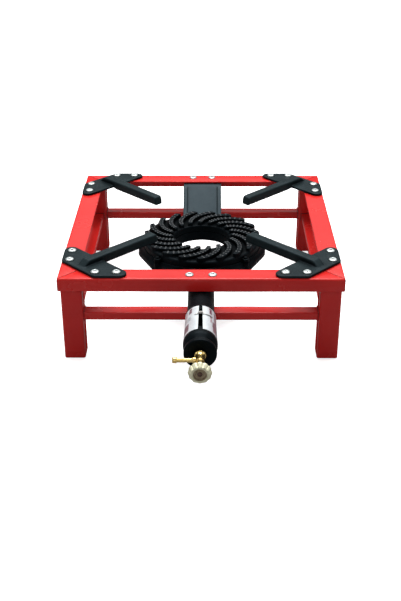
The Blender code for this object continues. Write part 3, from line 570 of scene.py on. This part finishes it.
def weld_bead(bm, corners, radius, seed, closed=True):
    """A rippled bead along a line through some corners."""
    path = dense_path(corners, WELD_STEP, closed)
    random.seed(seed)
    rings = []
    for index, here in enumerate(path):
        if closed:
            along = (path[(index + 1) % len(path)] - path[index - 1]).normalized()
        else:
            along = heading(path, index)
        side = along.cross(Vector((0.31, 0.59, 0.74))).normalized()
        swell = radius * (0.82 + 0.18 * math.sin(index * 2.1) + random.uniform(-0.12, 0.12))
        rings.append(hoop(here, side, along.cross(side), swell, 8))
    loft(bm, rings, closed=closed)


def dense_path(points, spacing, closed):
    """The same polyline with points at even, short steps."""
    made = []
    for start, end in neighbours(points, closed):
        start, end = Vector(start), Vector(end)
        steps = max(1, round((end - start).length / spacing))
        made += [start.lerp(end, step / steps) for step in range(steps)]
    return made


# ---- stand

def top_frame():
    """Four lengths of angle, mitred at the corners, with softened edges along each joint line."""
    low, under = TOP - FLANGE_SIDE, TOP - FLANGE_THICKNESS
    section = fillet([(0, low, 0.8 * MM), (0, TOP, 3 * MM), (FLANGE_TOP, TOP, 1 * MM),
                      (FLANGE_TOP, under, 0.8 * MM), (FLANGE_THICKNESS, under, 2 * MM),
                      (FLANGE_THICKNESS, low, 0.8 * MM)], closed=True)
    for quarter, side in enumerate(SIDES):
        bm = lofted([[(share * (HALF - depth - MITRE_GAP / 2), depth - HALF, height)
                      for depth, height in section] for share in (-1, -0.5, 0, 0.5, 1)])
        bm.faces.ensure_lookup_table()
        for face in bm.faces[-2:]:
            face.material_index = 1
        name = f"top_rail_{side}"
        piece(f"{name}_angle", bevelled(bm, 0.2 * MM, 40), (RED, JOINT_LINE), [name],
              transform=quarter_turn(quarter))


def legs():
    half, radius = LEG_SIDE / 2, 3 * MM
    inner = half - LEG_WALL
    levels = [(half - 1.2 * MM, 0), (half - 0.3 * MM, 0.3 * MM), (half, 1.2 * MM), (half, LEG_TOP - 0.4 * MM),
              (half - 0.4 * MM, LEG_TOP), (inner + 0.3 * MM, LEG_TOP), (inner, LEG_TOP - 0.4 * MM),
              (inner, LEG_WALL)]
    for y_name, y_side in (("front", -1), ("back", 1)):
        for x_name, x_side in (("left", -1), ("right", 1)):
            bm = lofted([[(x, y, height) for x, y in rounded_square(size, size, radius - (half - size) * 0.6)]
                         for size, height in levels])
            name = f"leg_{y_name}_{x_name}"
            piece(f"{name}_tube", bm, RED, [name],
                  location=(x_side * LEG_PLACE, CENTRE_Y + y_side * LEG_PLACE, 0))


def lower_rails():
    middle, wall = (RAIL_LOW + RAIL_HIGH) / 2, 1.5 * MM
    half_height, half_width = (RAIL_HIGH - RAIL_LOW) / 2, RAIL_WIDTH / 2
    outline = rounded_square(half_height, half_width, 1.8 * MM, 4)
    bore = rounded_square(half_height - wall, half_width - wall, 0.6 * MM, 4)
    for quarter, side in enumerate(SIDES):
        bm = lofted([[(end * RAIL_HALF_LENGTH, y - LEG_PLACE, middle + z) for z, y in shape]
                     for shape, end in ((outline, -1), (outline, 1), (bore, 1), (bore, -1))], closed=True)
        name = f"lower_rail_{side}"
        piece(f"{name}_tube", bm, RED, [name], transform=quarter_turn(quarter))


def welds():
    """Beads round the lower rails' ends, inside the top frame at each leg, and down each outer corner."""
    bm = bmesh.new()
    y_low, y_high = -LEG_PLACE - RAIL_WIDTH / 2 - 0.3 * MM, -LEG_PLACE + RAIL_WIDTH / 2 + 0.3 * MM
    rail_end = ((y_low, RAIL_LOW), (y_high, RAIL_LOW), (y_high, RAIL_HIGH), (y_low, RAIL_HIGH))
    face = LEG_PLACE - LEG_SIDE / 2 - 0.5 * MM
    inner, outer = LEG_PLACE - LEG_SIDE / 2 - 0.2 * MM, LEG_PLACE + LEG_SIDE / 2 - 4 * MM
    line = [(x, y, LEG_TOP - 0.6 * MM) for x, y in ((-outer, -inner), (-inner, -inner), (-inner, -outer))]
    corner = HALF - 1.5 * MM
    seam = [(-corner, -corner, height) for height in (TOP - FLANGE_SIDE + 0.6 * MM, TOP - 2.2 * MM)]
    for quarter in range(4):
        beads = bmesh.new()
        for number, end in enumerate((-1, 1)):
            corners = [(end * face, y, z) for y, z in rail_end]
            weld_bead(beads, corners, 1.3 * MM, 2 * quarter + number + 1)
        weld_bead(beads, line, 1.2 * MM, 2 * quarter + 23, closed=False)
        weld_bead(beads, seam, 1.1 * MM, 2 * quarter + 43, closed=False)
        bmesh.ops.transform(beads, matrix=quarter_turn(quarter), verts=beads.verts)
        merged(bm, beads)
    piece("weld_beads", bm, WELD_RED, [])


# ---- pan supports and fixings

def support_outline():
    """The corner plate from above, about the stand's front left corner."""
    edge, lobe, blend = 0.8 * MM, 10 * MM, 8 * MM
    outer_cut, inner_cut = 51 * MM, 111.4 * MM
    lobe_across, blend_across = edge + lobe, edge + blend
    lobe_along = inner_cut - lobe_across - lobe * math.sqrt(2)
    blend_along = outer_cut - edge + blend * math.tan(math.radians(22.5))
    half = arc((blend_across, blend_along), blend, 225, 180, 6)
    half += arc((lobe_across, lobe_along), lobe, 180, 45, 14)
    whole = half + [(y, x) for x, y in reversed(half)]
    return [(x - HALF, y - HALF) for x, y in whole]


def support_bar():
    """The bar: a ramp out of the plate, a level top and a cut-back tip, tapering towards the burner."""
    on_plate, under, tip = PLATE_LOW_ON_RAIL + 1 * MM, TOP - 1.5 * MM, BAR_TIP / MM
    # Millimetres from the frame's corner, the underside and the top
    stations = [(42, on_plate, PLATE_HIGH - 0.3 * MM), (44.5, on_plate, TOP + 5.4 * MM),
                (53, on_plate, BAR_TOP - 0.6 * MM), (56, on_plate, BAR_TOP), (74, on_plate, BAR_TOP),
                (84, under, BAR_TOP), (110, under, BAR_TOP), (140, under, BAR_TOP), (tip - 3, under, BAR_TOP),
                (tip, under, BAR_TOP - 1.2 * MM)]
    rings = []
    for along, low, high in stations:
        half = BAR_WIDTH / 2 * (1 - 0.07 * along / tip)
        middle, tall = (low + high) / 2, (high - low) / 2
        lean = 2.2 * MM if along == tip else 0
        rings.append([(along * MM + lean * (0.5 - y / tall / 2) - DIAGONAL, x, middle + y)
                      for x, y in rounded_square(half, tall, min(2.2 * MM, tall * 0.6), 4)])
    bm = lofted(rings)
    bmesh.ops.rotate(bm, verts=bm.verts, matrix=Matrix.Rotation(math.pi / 4, 3, "Z"))
    return bm


def pan_supports():
    """One casting for all four corners, turned from corner to corner."""
    outline = [Vector(point) for point in support_outline()]
    centre = sum(outline, Vector((0, 0))) / len(outline)
    levels = [(0.3 * MM, PLATE_LOW_ON_RAIL), (0, PLATE_LOW_ON_RAIL + 0.4 * MM), (0, PLATE_HIGH - 1.3 * MM),
              (0.4 * MM, PLATE_HIGH - 0.5 * MM), (1.3 * MM, PLATE_HIGH)]
    rings = []
    for inset, height in levels:
        spots = [point + (centre - point).normalized() * inset for point in outline]
        rings.append([(spot.x, spot.y, height) for spot in spots])
    mesh = as_mesh(cast(merged(lofted(rings), support_bar()), 1.0 * MM, 3), "pan_support_casting")
    for quarter, corner in enumerate(("front_left", "front_right", "back_right", "back_left")):
        placed(f"pan_support_{corner}_casting", mesh, CHARCOAL, [f"pan_support_{corner}"],
               turn_z=quarter * math.pi / 2)


def button_head(seat, tail, tail_radius):
    """A low domed head with a small dimple, its shank and the closed tail below."""
    head = in_mm([(0, 0.4), (1.3, 0.5), (1.9, 1.85), (2.5, 2.1), (3.8, 1.95), (5.1, 1.5), (5.85, 0.8),
                  (6.1, 0.3), (6.05, 0), (2.5, 0)], seat)
    foot = [(2.5 * MM, tail), (tail_radius, tail), (tail_radius * 0.9, tail - 1.1 * MM),
            (tail_radius * 0.6, tail - 1.5 * MM), (0, tail - 1.5 * MM)]
    return lathe(head + foot, 28)


def hex_nut(low, high):
    """A chamfered nut with its bore."""
    tall = high - low
    levels = [(4.7, low), (5.7, low + 0.18 * tall), (5.7, low + 0.82 * tall), (4.7, high), (3.3, high),
              (3.3, low)]
    return lofted([[(x, y, height) for x, y in arc((0, 0), size * MM, 0, 300, 5)]
                   for size, height in levels], closed=True)


def cad_nodes(start):
    """The CAD nodes whose names start so, each with its low and high corner."""
    return [(name, *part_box(name)) for name in sorted(frame["nodes"]) if name.startswith(start)]


def fixing(name, ending, bm, look=None):
    """A fastener's piece, upright on the middle of its CAD node."""
    low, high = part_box(name)
    middle = (low + high) / 2
    piece(f"{name}_{ending}", bm, look or ZINC, [name], location=(middle.x, middle.y, 0))


def fixings():
    """The rail bolts, the rivets and the nuts."""
    for start, tail_radius in (("rail_bolt_", 2.6 * MM), ("rivet_", 4 * MM)):
        for name, low, high in cad_nodes(start):
            fixing(name, "button", button_head(high.z - 2.2 * MM, low.z + 1.5 * MM, tail_radius))
    for name, low, high in cad_nodes("rail_nut_"):
        fixing(name, "hex", hex_nut(low.z, high.z))


# ---- burner

def base_limit(angle):
    """How far the base reaches at an angle: round, with a flat on each side of every pair of lugs."""
    degrees = math.degrees(angle) % 360
    for middle in FLAT_MIDDLES:
        off = abs(degrees - middle)
        if off < FLAT_HALF_ANGLE:
            return BASE_OUTER * math.cos(math.radians(FLAT_HALF_ANGLE)) / math.cos(math.radians(off))
    return BASE_OUTER


def with_lugs(bm, low, high):
    """Adds the four upright screw lugs."""
    profile = fillet([(0, high), (LUG_RADIUS, high, 1 * MM), (LUG_RADIUS + 0.4 * MM, low), (0, low)])
    for angle in map(math.radians, LUG_ANGLES):
        spot = lathe(profile, 20)
        bmesh.ops.translate(spot, verts=spot.verts, vec=(*polar(LUG_CIRCLE, angle), 0))
        merged(bm, spot)
    return bm


def throat(half_widths, half_heights, middles, stations):
    """The flat throat that leads from the tube into the ring."""
    steps, sides = 16, 40
    rings = []
    for step in range(steps + 1):
        share = step / steps
        ease = share * share * (3 - 2 * share)
        width, tall, middle = (first + (last - first) * ease
                               for first, last in (half_widths, half_heights, middles))
        centre = Vector((0, -(stations[0] + (stations[1] - stations[0]) * share), middle))
        rings.append(hoop(centre, Vector((width, 0, 0)), Vector((0, 0, tall)), 1, sides))
    return lofted(rings)


def burner_base():
    """The lower casting's ring and throat, with four screw lugs."""
    ring = fillet([(92 * MM, BASE_HIGH, 1 * MM), (93.5 * MM, BASE_FLOOR + 6 * MM, 3 * MM),
                   (99 * MM, BASE_FLOOR + 1.5 * MM, 2 * MM), (BASE_OUTER, BASE_FLOOR - 0.5 * MM, 1 * MM),
                   (BASE_OUTER, BASE_LOW, 1 * MM), (RING_INNER, BASE_LOW, 1 * MM),
                   (RING_INNER, BASE_HIGH, 0.8 * MM), (49 * MM, BASE_HIGH, 0.8 * MM),
                   (49 * MM, BASE_FLOOR, 2 * MM), (87 * MM, BASE_FLOOR, 2 * MM),
                   (87 * MM, BASE_HIGH, 0.8 * MM)], closed=True)
    bm = lathe(ring, 96, closed=True, limit=base_limit)
    merged(bm, throat((31 * MM, TUBE_RADIUS), (7 * MM, TUBE_RADIUS), (BASE_LOW + 7.6 * MM, AXIS_Z),
                      (87.5 * MM, 154 * MM)))
    bm = cast(with_lugs(bm, BASE_LOW + 0.5 * MM, BASE_HIGH - 1 * MM), 1.25 * MM, 3)
    piece("burner_base_casting", bm, BLACK, ["burner_body"])


def mixing_tube():
    """The long tube with its bell mouth, air port, grooved end disc and hanger."""
    bore, tube, disc, front = TUBE_BORE / MM, TUBE_RADIUS / MM, DISC_RADIUS / MM, DISC_FRONT / MM
    (back_seat, front_seat), (back_radius, front_radius) = (tuple(value / MM for value in pair)
                                                            for pair in (SEAT, SEAT_RADII))
    profile = fillet(in_mm([
        (bore, 153), (tube - 0.1, 153), (tube, 160), (tube, 234, 3), (20.3, 238.5, 2), (21, 241, 1),
        (21, back_seat, 0.5), (back_radius, back_seat, 0.2), (front_radius, front_seat, 0.2),
        (22.8, front_seat, 0.6), (22.8, 316, 0.8), (22.2, 318.5, 0.8), (18.9, 324.5, 1.6), (19.2, 326.5, 1),
        (disc, 330, 0.8), (disc, 335.6, 1), (disc - 1.2, front, 0.8), (5.3, front, 0.4),
        (5.3, front - 6, 0.4), (16.5, front - 6, 2), (17, 250), (bore, 232)]), closed=True)
    bm = lathe(profile, 64, closed=True)
    bmesh.ops.transform(bm, matrix=ALONG_TUBE, verts=bm.verts)
    middle = -(SEAT[0] + SEAT[1]) / 2
    outline = [(x, middle + y) for x, y in rounded_square(4.5 * MM, 24 * MM, 4 * MM, 6)]
    port = prism(outline, AXIS_Z + 12 * MM, AXIS_Z + 26 * MM)
    piece("mixing_tube", merged(cut(bm, port), hanger()), BLACK, [])


def hanger():
    """A web on the tube with an ear each side, under the front rail's two bolts."""
    top = TOP - FLANGE_THICKNESS - 0.3 * MM
    side = [(24 * MM, top, 1 * MM), (24 * MM, top - 5 * MM, 1.5 * MM), (9 * MM, top - 5 * MM, 4 * MM),
            (8.5 * MM, AXIS_Z + 15 * MM, 0)]
    outline = fillet(side + [(-x, height, radius) for x, height, radius in reversed(side)], closed=True)
    middle = top - 8 * MM
    sections = ((0.92, -194.6), (1, -193.4), (1, -173.6), (0.92, -172.4))
    return lofted([[(x * size, y * MM, middle + (height - middle) * size) for x, height in outline]
                   for size, y in sections])


def fin_frames(turn, steps):
    """Along one fin, in plan: its centre, its direction, its left normal and half its width."""
    spots = []
    for step in range(steps + 1):
        share = step / steps
        radius = RING_INNER + 1.5 * MM + (RING_OUTER - RING_INNER - 2.5 * MM) * share
        spots.append(Vector(polar(radius, turn - share * (FIN_SWEEP[0] + FIN_SWEEP[1] * share))))
    frames = []
    for step, spot in enumerate(spots):
        along = heading(spots, step)
        half = (FIN_WIDTHS[0] + (FIN_WIDTHS[1] - FIN_WIDTHS[0]) * step / steps) / 2
        frames.append((spot, along, Vector((-along.y, along.x)), half))
    return frames


def inside_rim(point):
    """Keeps a fin's edge off the outside of the ring."""
    return point * min(1.0, (RING_OUTER - 0.5 * MM) / point.length)


def fin(turn, low):
    """One fin: upright sides, a flat top with softened edges, and ends that drop off steeply."""
    frames = fin_frames(turn, 18)
    side = [(-1, low - FIN_TOP), (-1, -1.0 * MM), (-0.94, -0.4 * MM), (-0.8, 0)]
    section = side + [(-across, drop) for across, drop in reversed(side)]
    rings = []
    for index, (spot, _, normal, half) in enumerate(frames):
        at_end = index in (0, len(frames) - 1)
        ring = []
        for across, drop in section:
            flat = inside_rim(spot + normal * across * half * (0.8 if at_end else 1.0))
            ring.append((flat.x, flat.y, FIN_TOP + (min(drop, -0.6 * MM) if at_end else drop)))
        rings.append(ring)
    return lofted(rings)


def burner_cap():
    """The upper casting: an annular deck with curved fins, and an ear at each screw."""
    low = BASE_HIGH + 0.3 * MM
    deck = fillet([(RING_OUTER - 2 * MM, DECK_TOP, 1.5 * MM), (RING_OUTER, DECK_TOP - 2.4 * MM, 1 * MM),
                   (RING_OUTER, low, 0.5 * MM), (RING_INNER, low, 0.5 * MM), (RING_INNER, DECK_TOP, 1 * MM)],
                  closed=True)
    bm = lathe(deck, 96, closed=True)
    for turn in turns(FIN_COUNT):
        merged(bm, fin(turn, low + 2 * MM))
    bm = cast(with_lugs(bm, low, LUG_TOP), 0.65 * MM, 1)
    piece("burner_cap_casting", bm, BLACK, ["burner_cap"])


def flame_ports():
    """Two rows of drilled ports on top of every fin, each a raised rim round a black disc of painted shade
    for the hole.
    """
    bm = bmesh.new()
    for turn in turns(FIN_COUNT):
        for spot, along, normal, half in fin_frames(turn, 2 * PORTS_PER_ROW + 2)[2:-1:2]:
            for side in (-1, 1):
                centre = spot + normal * side * 0.52 * half
                if centre.length < RING_OUTER - 3 * MM:
                    port(bm, Vector((centre.x, centre.y, FIN_TOP - 0.05 * MM)), Vector((along.x, along.y, 0)))
    piece("flame_ports", bm, (PORT_RIM, PORT_HOLE_SHADE), [])


def port(bm, centre, along):
    """A ring-shaped rim with a black floor a little below its lip: painted shade for the hole's dark inside.
    """
    up = Vector((0, 0, 1))
    side = up.cross(along).normalized()
    profile = ((1.35, -0.3), (1.3, 0.3), (1.15, 0.44), (0.85, 0.44), (0.72, 0.15))
    loft(bm, [hoop(centre + up * lift * MM, along, side, radius * MM, 10) for radius, lift in profile])
    bm.faces.ensure_lookup_table()
    bm.faces[-1].material_index = 1


def cap_screws():
    for name, low, high in cad_nodes("cap_screw_"):
        seat = high.z - 2.4 * MM
        profile = fillet([(0, high.z), (2.2 * MM, high.z, 0.5 * MM), (3.15 * MM, seat + 1.2 * MM, 0.6 * MM),
                          (3.15 * MM, seat), (2 * MM, seat), (2 * MM, low.z), (0, low.z)])
        bm = slotted(lathe(profile, 24), high.z - 0.9 * MM, high.z + 1 * MM)
        fixing(name, "slotted", bm, BLACK)


# ---- rear plate

def rear_plate():
    """A pressed strip from the back rail down to the burner, dished between two raised sides."""
    low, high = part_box("rear_support_plate")
    half = (high.x - low.x) / 2
    thickness, ramp = 3 * MM, 6 * MM
    foot, top = low.z + thickness, high.z
    back, crest, dip, end = 196 * MM, 170 * MM, 104 * MM, 74 * MM
    line = fillet([(back, top), (crest, top, ramp), (dip, foot, ramp), (end, foot)], steps=8)
    path = dense_path([(0, y, z) for y, z in line], 2.5 * MM, False) + [Vector((0, *line[-1]))]
    side = [(-1, 0.8), (-0.97, 1), (-0.82, 1), (-0.76, 0), (-0.4, 0)]
    section = side + [(0, 0)] + [(-share, lip) for share, lip in reversed(side)]
    rings = []
    for index, point in enumerate(path):
        along = heading(path, index)
        normal = Vector((0, along.z, -along.y))
        near_end = min(crest - 2 * MM - point.y, point.y - dip - 2 * MM) / ramp
        rise = 2.6 * MM * max(0.0, min(1.0, near_end))
        ring = []
        for drop, spots in ((0, section), (thickness, section[::-1])):
            ring += [point + Vector((share * half, 0, 0)) + normal * (rise * lip - drop)
                     for share, lip in spots]
        rings.append(ring)
    piece("rear_support_plate_pressing", bevelled(lofted(rings), 0.5 * MM, 50), PLATE, ["rear_support_plate"])
    for name, low, high in cad_nodes("rear_plate_screw_"):
        tall = (high.z - low.z) / MM
        profile = in_mm([(0, tall), (2.5, tall), (2.5, 3), (4.6, 3), (4.5, 1.2, 0.8), (3, 0, 0.8),
                         (0, 0)], low.z)
        fixing(name, "pan", lathe(fillet(profile), 24))


# ---- shutter

def shutter_radius(station):
    share = (station - SEAT[0]) / (SEAT[1] - SEAT[0])
    return SEAT_RADII[0] + (SEAT_RADII[1] - SEAT_RADII[0]) * share + 0.3 * MM


def air_shutter():
    """The split band: thin bright sheet with a tapering slot and printed patches."""
    bm = bmesh.new()
    uv = bm.loops.layers.uv.new("UVMap")
    around, along = 96, 14
    start, end = SEAT[0] + 0.6 * MM, SEAT[1] - 0.6 * MM
    rings = []
    for row in range(along + 1):
        share = row / along
        station = start + (end - start) * share
        slot = SHUTTER_SLOTS[0] + (SHUTTER_SLOTS[1] - SHUTTER_SLOTS[0]) * share
        ring = []
        inside = shutter_radius(station)
        for radius, steps in ((inside, range(around + 1)),
                              (inside + SHUTTER_THICKNESS, range(around, -1, -1))):
            half = slot / 2 / radius
            for step in steps:
                angle = half + (2 * math.pi - 2 * half) * step / around
                ring.append((radius * math.sin(angle), radius * math.cos(angle), station))
        rings.append(ring)
    share_of = {}
    for row, ring in enumerate(loft(bm, rings)):
        for index, vertex in enumerate(ring):
            step = index if index <= around else 2 * around + 1 - index
            share_of[vertex] = (step / around, row / along)
    for face in bm.faces:
        for corner in face.loops:
            corner[uv].uv = share_of[corner.vert]
    piece("air_shutter_band", bm, SHEET, ["air_shutter"], "air_shutter", ALONG_TUBE)


def wire(path, radius):
    """A round wire along a path, its ends closed."""
    rings = []
    side = heading(path, 0).orthogonal()
    for index, point in enumerate(path):
        along = heading(path, index)
        side = (side - along * side.dot(along)).normalized()
        rings.append(hoop(point, side, along.cross(side), radius, 10))
    return lofted(rings)


def shutter_spring():
    """A wire over the slot: a short tail, a small coil and a long tail that lies on the band."""
    radius, coil, coil_half, windings, per_turn = 0.6 * MM, 1.5 * MM, 3.6 * MM, 4, 18
    base = shutter_radius(SPRING_STATION) + SHUTTER_THICKNESS + radius + 0.2 * MM

    def over(across, height, along=0):
        angle = across / height
        return Vector((height * math.sin(angle), height * math.cos(angle), SPRING_STATION + along))

    tail = ((-8.5, 0.1), (-7, 0), (-5.5, 0), (-4.2, 0))
    path = [over(across * MM, base + lift * MM) for across, lift in tail]
    steps = windings * per_turn
    for step in range(steps + 1):
        angle = math.tau * step / per_turn - math.pi / 2
        path.append(over(coil_half * (2 * step / steps - 1), base + coil * (1 + math.sin(angle)),
                         coil * math.cos(angle)))
    path += [over(across * MM, base) for across in (4.6, 6, 8, 10, 12, 14, 16, 18)]
    piece("shutter_spring_wire", wire(path, radius), SPRING_WIRE, ["shutter_spring"],
          "air_shutter", ALONG_TUBE)


# ---- valve

def on_valve(name, bm, look, node, body="stand"):
    """A piece drawn with the valve's axis as Z, heights counted from the end disc's face."""
    bmesh.ops.translate(bm, verts=bm.verts, vec=(0, 0, DISC_FRONT))
    piece(name, bm, look, [node], body, ALONG_TUBE)


def valve_body():
    profile = in_mm([(3.6, 19), (3.6, 26), (4.5, 26, 0.3), (5.2, 25.2, 0.4), (5.2, 20.6, 0.4),
                     (4.7, 20, 0.3), (4.7, 18.8, 0.3), (5.2, 18.2, 0.4), (5.2, 8.4, 1.5), (6.6, 4.8, 0.8),
                     (7.6, 3.8, 0.4), (7.6, 0.3, 0.4), (5, 0.3, 0.2), (5, -8, 0.4), (3, -8), (3, -2),
                     (0.9, -2), (0.9, 3.5), (1.9, 5), (1.9, 19)])
    bm = lathe(fillet(profile, closed=True), 48, closed=True)
    on_valve("valve_body_turned", bm, BRASS, "valve_body")


def gland_nut():
    """A hexagon with turned shoulders, and a spigot inside the valve's mouth."""
    low, high, apothem, chamfered = 26.3, 32.5, 6.5, 5
    rings = []
    for reach, height in ((3.3, 22.3), (3.3, low), (5.6, low), (7.2, low + 0.9), (7.2, high - 1.6),
                          (5.4, high - 0.2), (3.4, high), (1.9, high), (1.9, 22.3)):
        ring = []
        for angle in turns(48):
            flat = apothem / math.cos((angle + math.pi / 6) % (math.pi / 3) - math.pi / 6)
            radius = min(reach + 0.3, flat) if reach > chamfered else reach
            ring.append((*polar(radius * MM, angle), height * MM))
        rings.append(ring)
    on_valve("gland_nut_hexagon", lofted(rings, closed=True), BRASS, "gland_nut")


def hose_nozzle():
    """The gas inlet, pointing to the user's left."""
    low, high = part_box("hose_nozzle")
    tip, face = -low.x / MM, 5.5
    profile = in_mm([(1.2, tip, 0.2), (3.2, tip, 0.4), (3.9, tip - 1.6, 0.4), (3.9, tip - 5.2, 0.3),
                     (3.4, tip - 5.8, 0.2), (3.0, tip - 6.2, 0.3), (2.85, face + 11),
                     (2.85, face + 4.6, 0.4), (3.9, face + 3.6, 0.5), (3.9, face, 0.3), (1.7, face),
                     (1.7, 2.4), (0.9, 2.4), (1.2, face)])
    bm = lathe(fillet(profile, closed=True), 32, closed=True)
    middle = (low + high) / 2
    turn = Matrix.Translation((0, middle.y - CENTRE_Y, middle.z)) @ Matrix.Rotation(-math.pi / 2, 4, "Y")
    piece("hose_nozzle_turned", bm, BRASS, ["hose_nozzle"], transform=turn)


def knob():
    """A scalloped hand wheel: coned back, broad rim, dished face with a hub."""
    back, front, rim = KNOB_BACK / MM, KNOB_FRONT / MM, KNOB_RADIUS / MM
    profile = fillet([(1.9, back, 0.2), (7, back, 0.6), (9, back + 1.2, 1), (rim - 0.6, back + 6.2, 0.8),
                      (rim, back + 7, 0.6), (rim, back + 9, 0.6), (rim - 1, back + 10.4, 0.6),
                      (12, front - 0.9, 0.6), (11, front - 0.1, 0.5), (9.0, front - 0.3, 0.5),
                      (8.4, front - 1.6, 0.5), (7.8, front - 4.4, 0.6), (5.2, front - 4.6, 0.6),
                      (4.4, front - 3.2, 0.5), (1.9, front - 3.2, 0.2)], closed=True)
    rings = []
    for radius, height in profile:
        scallop = max(0.0, min(1.0, (radius - 9) / 5))
        ring = []
        for angle in turns(KNOB_LOBES * 12):
            dip = 1.25 * (1 - abs(math.cos(angle * KNOB_LOBES / 2)) ** 0.7) * scallop
            ring.append((*polar((radius - dip) * MM, angle), height * MM))
        rings.append(ring)
    bm = lofted(rings, closed=True)
    # The dished face takes the painted shade.
    for face in bm.faces:
        middle = face.calc_center_median()
        if math.hypot(middle.x, middle.y) < 8.6 * MM and middle.z > (front - 6) * MM:
            face.material_index = 1
    on_valve("knob_hand_wheel", bm, (OLD_BRASS, DISH_SHADE_BRASS), "knob", "knob")


def knob_screw():
    seat = KNOB_FRONT / MM - 2.9
    profile = in_mm([(0, seat + 2), (2.5, seat + 1.9, 0.4), (3.3, seat + 1.1, 0.4), (3.3, seat),
                     (0.8, seat), (0.8, seat - 4.5), (0, seat - 4.5)])
    bm = slotted(lathe(fillet(profile), 28), (seat + 1.1) * MM, (seat + 3) * MM)
    on_valve("knob_screw_slotted", bm, DARK_SCREW, "knob_screw", "knob")


def hidden_pieces():
    """CAD nodes that stay as they are, inside the valve."""
    for name, look in (("injector_jet", BRASS), ("stem_seal", PACKING), ("valve_spindle", BRASS)):
        node = frame["nodes"][name]
        node.data.materials.clear()
        node.data.materials.append(look)
        soft = node.modifiers.new("soft_edges", "BEVEL")
        soft.width = 0.1 * MM
        soft.segments = 2
        soft.limit_method = "ANGLE"


# ---- stage, light and camera

def floor():
    """Pale to the camera; duller to everything else, so that it doesn't wash out the undersides."""
    look = Look("pale_floor")
    seen = look.node("LightPath").outputs["Is Camera Ray"]
    tone = look.mix(look.noise(3, 2), (0.86, 0.86, 0.86), (0.90, 0.90, 0.90))
    tone = look.mix(seen, (0.28, 0.275, 0.275), tone)
    look.finish(Base_Color=tone, Roughness=look.span(look.noise(5), 0, 1, 0.8, 0.95), Specular_IOR_Level=0.1,
                Emission_Color=(1, 1, 1), Emission_Strength=look.product(seen, 0.66))
    reach = 12
    bm = bmesh.new()
    corners = ((-reach, -reach), (reach, -reach), (reach, reach), (-reach, reach))
    bm.faces.new([bm.verts.new((x, y, 0)) for x, y in corners])
    mesh = as_mesh(bm, "floor")
    mesh.materials.append(look.material)
    obj = linked("floor", mesh)
    obj.location.z = -0.2 * MM


def world():
    """White to the camera; for everything else a bright sky that darkens towards the horizon."""
    made = bpy.data.worlds.new("studio")
    bpy.context.scene.world = made
    sky = Tree(made)
    height = sky.node("SeparateXYZ", Vector=sky.node("TexCoord").outputs["Generated"]).outputs["Z"]
    tone = sky.mix(sky.span(height, 0.0, 0.9), (0.05, 0.05, 0.055), (0.34, 0.355, 0.37))
    seen = sky.node("LightPath").outputs["Is Camera Ray"]
    sky.put(sky.tree.nodes["Background"].inputs["Color"], sky.mix(seen, tone, (1, 1, 1)))


def studio():
    """Soft panels round the stand: name, place from its centre, size and power."""
    for name, place, size, power in (
            ("overhead", (0, 0.5, 1.9), (2.0, 1.4), 60), ("back", (0.2, 2.3, 1.5), (2.4, 1.2), 5),
            ("left", (-1.9, -0.6, 0.9), (1, 1), 5), ("right", (1.9, -0.3, 1.0), (1, 1), 5),
            ("front", (-0.3, -2.4, 1.1), (1.2, 0.8), 4.5)):
        data = bpy.data.lights.new(name, "AREA")
        data.shape = "RECTANGLE"
        data.size, data.size_y = size
        data.energy = power
        obj = linked(name, data)
        obj.location = Vector(place) + Vector(AT_CENTRE)
        obj.rotation_euler = (Vector((0, CENTRE_Y, TOP)) - obj.location).to_track_quat("-Z", "Y").to_euler()


def camera():
    data = bpy.data.cameras.new("camera")
    obj = linked("camera", data)
    data.sensor_fit = "AUTO"
    data.sensor_width = CAMERA_SENSOR
    data.lens = CAMERA_LENS
    data.clip_start, data.clip_end = 0.05, 60
    obj.location = Vector(CAMERA_PLACE) + Vector(AT_CENTRE)
    turn = Matrix.Identity(4)
    for angle, axis in ((CAMERA_YAW, "Z"), (90 - CAMERA_PITCH, "X"), (CAMERA_ROLL, "Z")):
        turn = turn @ Matrix.Rotation(math.radians(angle), 4, axis)
    obj.rotation_euler = turn.to_euler()
    bpy.context.scene.camera = obj


for make in (top_frame, legs, lower_rails, welds, pan_supports, fixings, burner_base, mixing_tube,
             burner_cap, flame_ports, cap_screws, rear_plate, air_shutter, shutter_spring, valve_body,
             gland_nut, hose_nozzle, knob, knob_screw, hidden_pieces, floor, world, studio, camera):
    make()
bpy.context.scene.view_settings.view_transform = "Standard"
